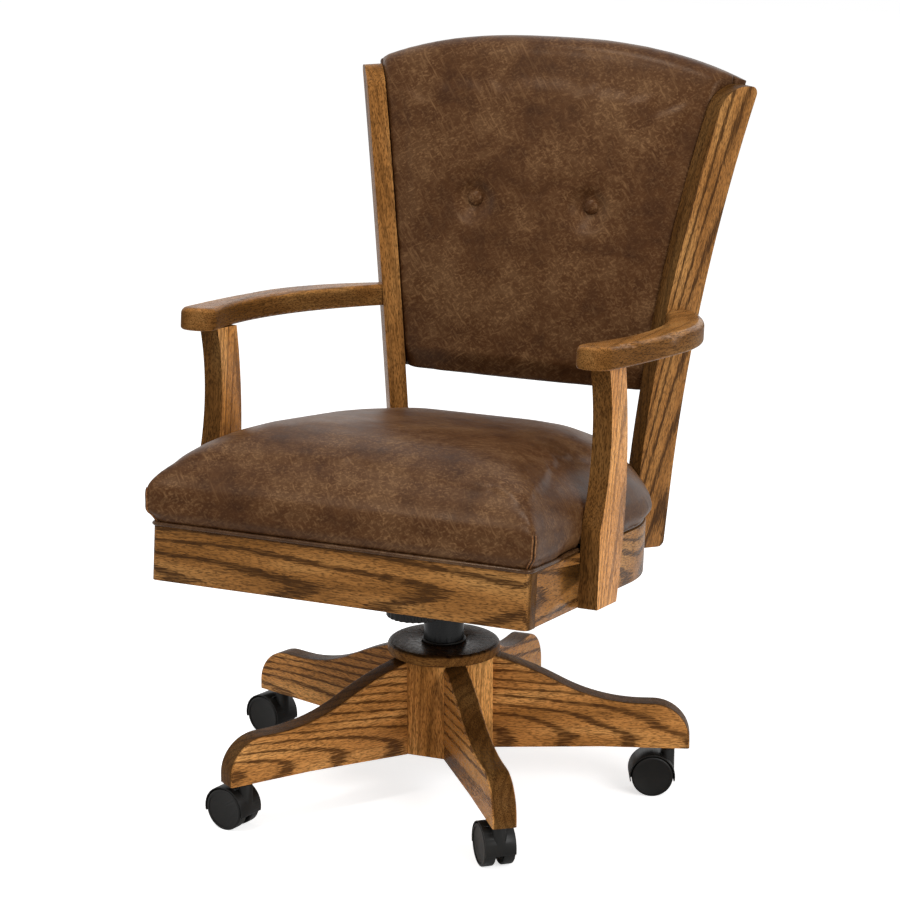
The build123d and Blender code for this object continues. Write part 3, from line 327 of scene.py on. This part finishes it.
# %% [markdown]
# The casters, knob and paddle are moulded in black nylon, whose skin has the fine texture of its mould.
# The column and the tilt plate are steel under gloss black enamel, and pins and screws are zinc plated.
# Hidden boards are birch plywood, raw on their faces.

# %% Nylon, enamel, zinc and plywood


def moulded_nylon(name):
    material, tree, shader = finish(name)
    place = put(tree, "ShaderNodeTexCoord").outputs["Object"]
    skin = put(tree, "ShaderNodeTexNoise", {"Vector": place, "Scale": 900.0, "Detail": 2.0})
    smudge = put(tree, "ShaderNodeTexNoise", {"Vector": place, "Scale": 35.0, "Detail": 3.0})
    tint = ramp(tree, smudge.outputs["Fac"], [(0.3, "#0D0C0A"), (0.7, "#151310")])
    tree.links.new(tint, shader.inputs["Base Color"])
    dull = put(tree, "ShaderNodeMath", {0: smudge.outputs["Fac"], 1: 0.2, 2: 0.30}, operation="MULTIPLY_ADD")
    tree.links.new(dull.outputs[0], shader.inputs["Roughness"])
    bump = put(tree, "ShaderNodeBump", {"Height": skin.outputs["Fac"], "Strength": 0.12, "Distance": 0.0003})
    tree.links.new(bump.outputs[0], shader.inputs["Normal"])
    shader.inputs["IOR"].default_value = 1.53
    shader.inputs["Specular IOR Level"].default_value = 0.22
    return material


def black_enamel(name):
    material, tree, shader = finish(name)
    place = put(tree, "ShaderNodeTexCoord").outputs["Object"]
    peel = put(tree, "ShaderNodeTexNoise", {"Vector": place, "Scale": 420.0, "Detail": 1.0})
    smudge = put(tree, "ShaderNodeTexNoise", {"Vector": place, "Scale": 30.0, "Detail": 4.0})
    tint = ramp(tree, smudge.outputs["Fac"], [(0.3, "#0B0B0B"), (0.7, "#131313")])
    tree.links.new(tint, shader.inputs["Base Color"])
    dull = put(tree, "ShaderNodeMath", {0: smudge.outputs["Fac"], 1: 0.18, 2: 0.16}, operation="MULTIPLY_ADD")
    tree.links.new(dull.outputs[0], shader.inputs["Roughness"])
    bump = put(tree, "ShaderNodeBump", {"Height": peel.outputs["Fac"], "Strength": 0.05, "Distance": 0.0003})
    tree.links.new(bump.outputs[0], shader.inputs["Normal"])
    shader.inputs["Specular IOR Level"].default_value = 0.25
    return material


def zinc_plate(name):
    material, tree, shader = finish(name)
    place = put(tree, "ShaderNodeTexCoord").outputs["Object"]
    spangle = put(tree, "ShaderNodeTexVoronoi", {"Vector": place, "Scale": 260.0})
    tint = ramp(tree, spangle.outputs["Distance"], [(0.1, "#9C9E9B"), (0.8, "#BFC1BE")])
    tree.links.new(tint, shader.inputs["Base Color"])
    dull = put(tree, "ShaderNodeMath", {0: spangle.outputs["Distance"], 1: 0.15, 2: 0.28},
               operation="MULTIPLY_ADD")
    tree.links.new(dull.outputs[0], shader.inputs["Roughness"])
    shader.inputs["Metallic"].default_value = 1.0
    return material


def birch_plywood(name):
    material, tree, shader = finish(name)
    place = put(tree, "ShaderNodeTexCoord").outputs["Object"]
    sheet = put(tree, "ShaderNodeVectorMath", {0: place, 1: (12, 160, 260)}, operation="MULTIPLY")
    figure = put(tree, "ShaderNodeTexNoise", {"Vector": sheet.outputs[0], "Scale": 1.0, "Detail": 4.0})
    tint = ramp(tree, figure.outputs["Fac"], [(0.3, "#A98A5F"), (0.7, "#CDB48A")])
    tree.links.new(tint, shader.inputs["Base Color"])
    shader.inputs["Roughness"].default_value = 0.7
    return material


nylon = moulded_nylon("moulded_nylon")
enamel = black_enamel("black_enamel")
zinc = zinc_plate("zinc_plate")
birch = birch_plywood("birch_plywood")
for name in nodes:
    if name.startswith(("caster_hood", "wheel_")) or name in (
        "tension_knob", "lever_paddle", "column_collar", "column_bush"
    ):
        wear(name, nylon)
    elif name in ("column_tube", "mech_housing", "seat_plate", "height_lever", "lift_cylinder"):
        wear(name, enamel)
    elif name.startswith("caster_pins") or name in (
        "piston_rod", "rod_clip", "pivot_pin", "release_pin", "plate_screws", "frame_screws", "caster_sockets"
    ):
        wear(name, zinc)
    elif name in ("seat_board", "corner_blocks"):
        wear(name, birch)
print("bare nodes", [n for n, o in nodes.items() if not o.data.materials])

# %% [markdown]
# A solid model has razor edges, and wood never does: a maker eases every arris with sandpaper or a router.
# The eased edge is what catches the light. Weld joins the loose triangles of a solid's mesh, and Bevel rounds
# only where two faces meet at a real angle, so the solids themselves stay as they are.

# %% Ease the edges


def ease(name, width, segments=3, angle=38.0):
    node = nodes[name]
    join = node.modifiers.new("join", "WELD")
    join.merge_threshold = 0.00002
    edge = node.modifiers.new("ease", "BEVEL")
    edge.width = width
    edge.segments = segments
    edge.limit_method = "ANGLE"
    edge.angle_limit = math.radians(angle)
    edge.harden_normals = True
    edge.use_clamp_overlap = True
    node.data.shade_smooth()


for name in nodes:
    if name.startswith("arm_"):
        ease(name, 0.0015, 3)
    elif name.startswith(("stile_", "post_")):
        ease(name, 0.0035, 4)
    elif name.startswith(("front_rail", "side_rail", "rear_rail", "leg_")):
        ease(name, 0.0016, 3)
    elif name.startswith(("hub_", "back_board", "lever_paddle")):
        ease(name, 0.0012, 2)
    elif name.startswith(("caster_hood", "wheel_", "tension_knob", "column_")):
        ease(name, 0.0008, 2)
    else:
        ease(name, 0.0004, 1)
print("eased", len(nodes))

# %% [markdown]
# The seat and the back are foam under leather. The leather is stretched, so it wants to be a balloon and the
# sewing and stapling hold it back. A cloth simulation with pressure does just that: the copy of the solid is
# remeshed into even squares, pulled in a little, held where it is sewn or stapled, and blown up until tight.
# A cap on how far each point ends from the solid keeps the pad in the space that its solid holds.

# %% Blow up a pad


def pad_from(node_name, name, voxel, relax):
    copy = bmesh.new()
    copy.from_mesh(nodes[node_name].data)
    bmesh.ops.remove_doubles(copy, verts=copy.verts, dist=0.00002)
    mesh = bpy.data.meshes.new(name)
    copy.to_mesh(mesh)
    copy.free()
    pad = bpy.data.objects.new(name, mesh)
    bpy.context.scene.collection.objects.link(pad)
    cut = pad.modifiers.new("even", "REMESH")
    cut.mode = "VOXEL"
    cut.voxel_size = voxel
    bpy.context.view_layer.update()
    even = bpy.data.meshes.new_from_object(pad.evaluated_get(bpy.context.evaluated_depsgraph_get()))
    pad.modifiers.clear()
    pad.data = even
    even.name = name
    shape = bmesh.new()
    shape.from_mesh(even)
    for _ in range(relax):
        bmesh.ops.smooth_vert(
            shape, verts=shape.verts, factor=0.5, use_axis_x=True, use_axis_y=True, use_axis_z=True
        )
    shape.to_mesh(even)
    shape.free()
    return pad


def points_of(pad):
    co = np.zeros(len(pad.data.vertices) * 3, np.float32)
    pad.data.vertices.foreach_get("co", co)
    return co.reshape(-1, 3).astype(float)


def set_points(pad, co):
    pad.data.vertices.foreach_set("co", co.astype(np.float32).ravel())
    pad.data.update()


def normals_of(pad):
    return np.array([v.normal for v in pad.data.vertices])


def blow_up(pad, held, pressure, slack, cap):
    full, normals, free = points_of(pad), normals_of(pad), 1 - held
    start = full - normals * (slack * free)[:, None]
    set_points(pad, start)
    group = pad.vertex_groups.new(name="held")
    for index in np.nonzero(held > 0)[0]:
        group.add([int(index)], float(held[index]), "REPLACE")
    cloth = pad.modifiers.new("cloth", "CLOTH")
    cloth.settings.use_pressure = True
    cloth.settings.uniform_pressure_force = pressure
    cloth.settings.vertex_group_mass = "held"
    cloth.settings.effector_weights.gravity = 0
    cloth.settings.tension_stiffness = 12
    cloth.settings.compression_stiffness = 12
    cloth.settings.bending_stiffness = 1.5
    scene = bpy.context.scene
    for frame_number in range(1, 21):
        scene.frame_set(frame_number)
    blown = pad.evaluated_get(bpy.context.evaluated_depsgraph_get())
    co = np.array([v.co for v in blown.data.vertices], float)
    pad.modifiers.clear()
    pad.vertex_groups.clear()
    scene.frame_set(1)
    swell = ((co - full) * normals).sum(1)
    kept = np.clip(swell, -cap, cap) * free
    set_points(pad, full + normals * kept[:, None])
    print(pad.name, "swells by mm", (kept.min() * 1000).round(1), (kept.max() * 1000).round(1))


def smoothstep(x, low, high):
    t = np.clip((x - low) / (high - low), 0, 1)
    return t * t * (3 - 2 * t)


def refine(pad):
    soft = pad.modifiers.new("soften", "SUBSURF")
    soft.levels = 1
    bpy.context.view_layer.update()
    pad.data = bpy.data.meshes.new_from_object(pad.evaluated_get(bpy.context.evaluated_depsgraph_get()))
    pad.modifiers.clear()


def dress(pad, node_name, body, material):
    pad.data.materials.clear()
    pad.data.materials.append(material)
    pad.data.shade_smooth()
    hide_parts(node_name)
    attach(pad, body)


print("pads come next")

# %% [markdown]
# The seat cushion is a dome over foam: stapled under the seat board, swelling over the rails and sewn with a
# short dart at each front corner. Its foot is held, the rest swells. Then the foot is pushed out until it
# stands on the welt, and the darts draw the front corners into an edge.

# %% Seat cushion
CORNER = np.array([0.237, -0.307])
DART_TOP = 0.110
FRONT_FADE = (-0.24, -0.19)  # in front of the posts
REAR_RISE, REAR_FADE = (-0.085, -0.055), (0.07, 0.11)  # between the posts and the stiles
FOOT_PUSH, CORNER_PUSH = 0.0090, 0.008
cushion = pad_from("seat_cushion", "cushion", 0.006, 3)
local = to_seat(points_of(cushion))
held = 1 - smoothstep(local[:, 2], 0.066, 0.076)
blow_up(cushion, held, 4.0, 0.004, 0.0012)
refine(cushion)
print("cushion points", len(cushion.data.vertices))

# %% Foot and front corners of the cushion
local = to_seat(points_of(cushion))
outward = to_seat(normals_of(cushion)) - to_seat(np.zeros(3))
_, y, z = local.T
clear = 1 - smoothstep(y, *FRONT_FADE) + smoothstep(y, *REAR_RISE) * (1 - smoothstep(y, *REAR_FADE))
foot = FOOT_PUSH * clear * smoothstep(z, 0.058, 0.066) * (1 - smoothstep(z, 0.066, 0.098))
local[:, :2] += outward[:, :2] * foot[:, None]
for side in (-1, 1):
    inward = np.array([-side, 1.0]) / math.sqrt(2)
    across = np.array([inward[1], -inward[0]])
    flat = local[:, :2] - CORNER * (side, 1)
    ridge = np.exp(-np.abs(flat @ across) / 0.018) * (1 - smoothstep(flat @ inward, 0.005, 0.07))
    ridge *= 0.75 * smoothstep(z, 0.058, 0.066) + 0.25 * smoothstep(z, 0.072, DART_TOP)
    ridge *= 1 - smoothstep(z, DART_TOP + 0.002, DART_TOP + 0.045)
    local[:, :2] -= inward * (CORNER_PUSH * ridge)[:, None]
set_points(cushion, to_room(local))
dress(cushion, "seat_cushion", "seat", leather)
print("cushion box", points_of(cushion).min(0).round(3), points_of(cushion).max(0).round(3))

# %% [markdown]
# The welt is a cord in a strip of the same leather, sewn round the foot of the seat. It follows the plan of
# the rails: three corners on each side, each rounded, and a flat where a stile stands against the frame. It
# stands a little proud of the front rail and is tucked in where the posts pass it. A node tree sweeps a round
# section along that path, so its thickness is one number.

# %% Path of the welt


def rounded(path, radii):
    out = []
    count = len(path)
    for i, (p, r) in enumerate(zip(path, radii)):
        p, before, after = np.array(p), np.array(path[i - 1]), np.array(path[(i + 1) % count])
        a = (before - p) / np.linalg.norm(before - p)
        b = (after - p) / np.linalg.norm(after - p)
        half = math.acos(float(a @ b)) / 2
        centre = p + (a + b) / np.linalg.norm(a + b) * r / math.sin(half)
        first, last = p + a * r / math.tan(half), p + b * r / math.tan(half)
        start = math.atan2(*(first - centre)[::-1])
        sweep = (math.atan2(*(last - centre)[::-1]) - start + math.pi) % (2 * math.pi) - math.pi
        for turn in start + sweep * np.arange(13) / 12:
            out.append(centre + r * np.array([math.cos(turn), math.sin(turn)]))
    closed = np.array(out + out[:1])
    run = np.r_[0, np.cumsum(np.linalg.norm(np.diff(closed, axis=0), axis=1))]
    even = np.linspace(0, run[-1], 420, endpoint=False)
    return np.c_[np.interp(even, run, closed[:, 0]), np.interp(even, run, closed[:, 1])]


half_plan = [(0.240, -0.310), (0.245, 0.059), (0.1674, 0.232)]
plan = half_plan + [(-x, y) for x, y in reversed(half_plan)]
radii = [0.008, 0.230, 0.057, 0.057, 0.230, 0.008]
outline = rounded(plan, radii)
WELT = 0.0028
WELT_TUCK, WELT_PROUD = 0.0050, 0.0002
STILE_FACE = 0.273
middle = np.array([0.0, -0.04])
tuck = WELT_TUCK - (WELT_TUCK + WELT_PROUD) * (1 - smoothstep(outline[:, 1], *FRONT_FADE))
inset = outline + (middle - outline) / np.linalg.norm(middle - outline, axis=1)[:, None] * tuck[:, None]
for side in (-1, 1):
    along = np.array([side * math.sin(TOE), math.cos(TOE)])
    past = np.maximum(0, inset @ along - (STILE_FACE - 0.0003 - WELT))
    inset -= past[:, None] * along
print("welt points", len(inset))

# %% Sweep the welt
tree = bpy.data.node_groups.new("sweep_welt", "GeometryNodeTree")
tree.interface.new_socket("Path", in_out="INPUT", socket_type="NodeSocketGeometry")
tree.interface.new_socket("Thickness", in_out="INPUT", socket_type="NodeSocketFloat")
tree.interface.new_socket("Leather", in_out="INPUT", socket_type="NodeSocketMaterial")
tree.interface.new_socket("Welt", in_out="OUTPUT", socket_type="NodeSocketGeometry")
given = put(tree, "NodeGroupInput")
path = put(tree, "GeometryNodeMeshToCurve", {"Mesh": given.outputs["Path"]})
section = put(tree, "GeometryNodeCurvePrimitiveCircle", {
    "Resolution": 14, "Radius": given.outputs["Thickness"]
})
swept = put(tree, "GeometryNodeCurveToMesh", {
    "Curve": path.outputs[0], "Profile Curve": section.outputs[0], "Fill Caps": True
})
real = put(tree, "GeometryNodeRealizeInstances", {"Geometry": swept.outputs[0]})
clad = put(tree, "GeometryNodeSetMaterial", {
    "Geometry": real.outputs[0], "Material": given.outputs["Leather"]
})
put(tree, "NodeGroupOutput", {"Welt": clad.outputs[0]})


def grown(name, mesh, node_tree, values):
    carrier = bpy.data.objects.new(name + "_carrier", mesh)
    bpy.context.scene.collection.objects.link(carrier)
    modifier = carrier.modifiers.new("grow", "NODES")
    modifier.node_group = node_tree
    for item in node_tree.interface.items_tree:
        if item.in_out == "INPUT" and item.name in values:
            modifier[item.identifier] = values[item.name]
    bpy.context.view_layer.update()
    made = bpy.data.meshes.new_from_object(carrier.evaluated_get(bpy.context.evaluated_depsgraph_get()))
    bpy.data.objects.remove(carrier)
    made.name = name
    piece = bpy.data.objects.new(name, made)
    bpy.context.scene.collection.objects.link(piece)
    made.shade_smooth()
    return piece


loop = bpy.data.meshes.new("welt_path")
path_points = to_room(np.c_[inset, np.full(len(inset), RAIL_TOP + WELT)])
count = len(path_points)
loop.from_pydata([tuple(p) for p in path_points], [(i, (i + 1) % count) for i in range(count)], [])
welt = grown("welt", loop, tree, {"Thickness": WELT, "Leather": welt_leather})
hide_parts("seat_piping")
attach(welt, "seat")
print("welt faces", len(welt.data.polygons))

# %% [markdown]
# At each front corner the leather is cut and sewn together again, so that a flat hide can go round it. The
# seam's two lips are thin cords painted pale as a highlight, with a cord painted dark as shade between them.
# Their points are found by shooting rays at the cushion, and the welt's tree sweeps them.

# %% Dart seams
SEAM = 0.0010
SEAM_FOOT = 0.0700
RAY_START = 0.12
bpy.context.view_layer.update()
skin = BVHTree.FromObject(cushion, bpy.context.evaluated_depsgraph_get())


def sew(name, beside, rise, material):
    spots, links = [], []
    for side in (-1, 1):
        away = np.array([side, -1.0]) / math.sqrt(2) * RAY_START
        for shift in beside:
            base = CORNER * (side, 1) + np.array([1.0, side]) / math.sqrt(2) * shift
            for step, height in enumerate(np.linspace(SEAM_FOOT, DART_TOP, 15)):
                start = to_room(np.r_[base + away, height])
                aim = to_room(np.r_[base - away, height]) - start
                spot, normal, _, _ = skin.ray_cast(Vector(start), Vector(aim))
                if step:
                    links.append((len(spots) - 1, len(spots)))
                spots.append(spot + normal * rise)
    thread = bpy.data.meshes.new(name + "_path")
    thread.from_pydata(spots, links, [])
    piece = grown(name, thread, tree, {"Thickness": SEAM, "Leather": material})
    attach(piece, "seat")
    print(name, "faces", len(piece.data.polygons))


# painted highlight on the lips, painted shade in the gap between them
sew("dart_lips", (-1.7 * SEAM, 1.7 * SEAM), 0.4 * SEAM, highlight_lip_leather)
sew("dart_gaps", (0.0,), 0.0, gap_leather)

# %% [markdown]
# The back is a thinner pad between the stiles, pulled in at two buttons. It is stapled along its sides and
# round its rear edge, so those are held, and the floor of each button's dimple is held by the button's cord.
# After that the leather is pulled under at the foot of the pad, and the cords draw the dimples deeper.

# %% Back pad
BUTTON_X, BUTTON_Z = 0.0808, 0.4326
TUCK_DEPTH, TUCK_HEIGHT = 0.014, 0.032
DIMPLE_DRAW, DIMPLE_SPREAD = 0.0040, 0.024
PAD_DEPTH = 0.05
backrest = pad_from("back_pad", "backrest", 0.005, 4)
local = to_seat(points_of(backrest))
normals = normals_of(backrest)
facing = -(normals[:, 1] * LEAN_C - normals[:, 2] * LEAN_S)
held = 1 - smoothstep(facing, 0.2, 0.6)
near = np.minimum(*[
    np.hypot(local[:, 0] - button_x, local[:, 2] - BUTTON_Z) for button_x in (BUTTON_X, -BUTTON_X)
])
held = np.maximum(held, 1 - smoothstep(near, 0.010, 0.016))
blow_up(backrest, held, 3.0, 0.003, 0.0008)
refine(backrest)
local = to_seat(points_of(backrest))
x, y, z = local.T
height = z - z.min()
thick = np.clip((y[height < 0.03].max() - y) / PAD_DEPTH, 0, 1)
y += TUCK_DEPTH * thick * (1 - smoothstep(height, 0.0, TUCK_HEIGHT))
for button_x in (-BUTTON_X, BUTTON_X):
    y += DIMPLE_DRAW * thick * np.exp(-((x - button_x) ** 2 + (z - BUTTON_Z) ** 2) / DIMPLE_SPREAD ** 2)
set_points(backrest, to_room(local))
dress(backrest, "back_pad", "seat", leather)
print("backrest points", len(backrest.data.vertices))

# %% [markdown]
# The two buttons are shallow domes covered in the same leather. They are alike, so a node tree places one
# dome on each point of a two-point mesh. They sit a little deeper than their solids, in the deeper dimples.

# %% Covered buttons
BUTTON_RADIUS, BUTTON_RISE, BUTTON_SINK = 0.0105, 0.0060, 0.0030
low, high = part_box("back_buttons")
seat_rear = to_seat(np.array([0, high[1], (low[2] + high[2]) / 2]))[1]
tree = bpy.data.node_groups.new("set_buttons", "GeometryNodeTree")
tree.interface.new_socket("Places", in_out="INPUT", socket_type="NodeSocketGeometry")
tree.interface.new_socket("Radius", in_out="INPUT", socket_type="NodeSocketFloat")
tree.interface.new_socket("Rise", in_out="INPUT", socket_type="NodeSocketFloat")
tree.interface.new_socket("Leather", in_out="INPUT", socket_type="NodeSocketMaterial")
tree.interface.new_socket("Buttons", in_out="OUTPUT", socket_type="NodeSocketGeometry")
given = put(tree, "NodeGroupInput")
ball = put(tree, "GeometryNodeMeshUVSphere", {"Segments": 28, "Rings": 16, "Radius": 1.0})
size = put(tree, "ShaderNodeCombineXYZ", {
    "X": given.outputs["Radius"], "Y": given.outputs["Radius"], "Z": given.outputs["Rise"]
})
dome = put(tree, "GeometryNodeTransform", {
    "Geometry": ball.outputs[0], "Scale": size.outputs[0], "Rotation": (math.radians(90) - LEAN, 0, 0)
})
laid = put(tree, "GeometryNodeInstanceOnPoints", {
    "Points": given.outputs["Places"], "Instance": dome.outputs[0]
})
real = put(tree, "GeometryNodeRealizeInstances", {"Geometry": laid.outputs[0]})
clad = put(tree, "GeometryNodeSetMaterial", {
    "Geometry": real.outputs[0], "Material": given.outputs["Leather"]
})
put(tree, "NodeGroupOutput", {"Buttons": clad.outputs[0]})
places = bpy.data.meshes.new("button_places")
front = (to_seat(np.array(low))[1] + seat_rear) / 2 + BUTTON_SINK
spots = to_room(np.array([[x, front, BUTTON_Z] for x in (-BUTTON_X, BUTTON_X)]))
places.from_pydata([tuple(p) for p in spots], [], [])
buttons = grown("buttons", places, tree, {"Radius": BUTTON_RADIUS, "Rise": BUTTON_RISE, "Leather": leather})
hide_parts("back_buttons")
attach(buttons, "seat")
print("button places", spots.round(4).tolist())

# %% [markdown]
# The studio: a pale floor, a soft key light from above the chair's front, a broad fill from the other side, a
# lamp overhead, and white all round. Light paths let the camera and reflections see white while the lamps
# stay at a plain level.

# %% Floor and light
floor_mesh = bpy.data.meshes.new("floor")
floor_mesh.from_pydata([(-9, -9, 0), (9, -9, 0), (9, 9, 0), (-9, 9, 0)], [], [(0, 1, 2, 3)])
floor = bpy.data.objects.new("floor", floor_mesh)
bpy.context.scene.collection.objects.link(floor)
floor_paint, tree, shader = finish("floor_paint")
shader.inputs["Base Color"].default_value = hex_linear("#F4F4F4")
shader.inputs["Roughness"].default_value = 0.9
shader.inputs["Specular IOR Level"].default_value = 0.0
rays = put(tree, "ShaderNodeLightPath")
glow = put(tree, "ShaderNodeEmission", {"Color": (1, 1, 1, 1), "Strength": 0.66})
seen = put(tree, "ShaderNodeMixShader", {0: rays.outputs["Is Camera Ray"], 2: glow.outputs[0]})
both = put(tree, "ShaderNodeAddShader", {0: shader.outputs[0], 1: seen.outputs[0]})
tree.links.new(both.outputs[0], tree.nodes["Material Output"].inputs["Surface"])
floor_mesh.materials.append(floor_paint)

world = bpy.data.worlds.new("studio")
bpy.context.scene.world = world
world.use_nodes = True
tree = world.node_tree
rays = put(tree, "ShaderNodeLightPath")
seen = rays.outputs["Is Camera Ray"]
for kind in ("Is Glossy Ray", "Is Transmission Ray"):
    seen = put(tree, "ShaderNodeMath", {0: seen, 1: rays.outputs[kind]}, operation="MAXIMUM").outputs[0]
level = put(tree, "ShaderNodeMapRange", {"Value": seen, "To Min": 0.40, "To Max": 1.0})
tree.links.new(level.outputs[0], tree.nodes["Background"].inputs["Strength"])
tree.nodes["Background"].inputs["Color"].default_value = (1, 1, 1, 1)


def softbox(name, place, aim, size, power):
    lamp = bpy.data.lights.new(name, "AREA")
    lamp.shape = "SQUARE"
    lamp.size = size
    lamp.energy = power
    box = bpy.data.objects.new(name, lamp)
    box.location = place
    box.rotation_mode = "QUATERNION"
    box.rotation_quaternion = (Vector(aim) - Vector(place)).to_track_quat("-Z", "Y")
    bpy.context.scene.collection.objects.link(box)


softbox("key", (-0.9, -2.3, 2.9), (0, 0, 0.45), 0.5, 32)
softbox("fill", (2.6, -1.3, 1.6), (0, 0, 0.5), 1.6, 50)
softbox("top", (-0.2, -0.5, 3.0), (0, 0.05, 0.5), 0.7, 31)

# %% [markdown]
# The camera stands where the photographer stood: in front, a little to the chair's left and above it, with a
# long lens.

# %% Camera
lens = bpy.data.cameras.new("camera")
lens.sensor_width = 36.0
lens.lens = 115.3
camera = bpy.data.objects.new("camera", lens)
camera.location = (1.4065, -3.1261, 1.3427)
camera.rotation_mode = "QUATERNION"
camera.rotation_quaternion = (Vector((0.00695, 0.00311, 0.43863)) - camera.location).to_track_quat("-Z", "Y")
bpy.context.scene.collection.objects.link(camera)
bpy.context.scene.camera = camera
bpy.context.scene.view_settings.view_transform = "Standard"
print("camera at", list(camera.location))

# %% Finish
bpy.context.view_layer.update()
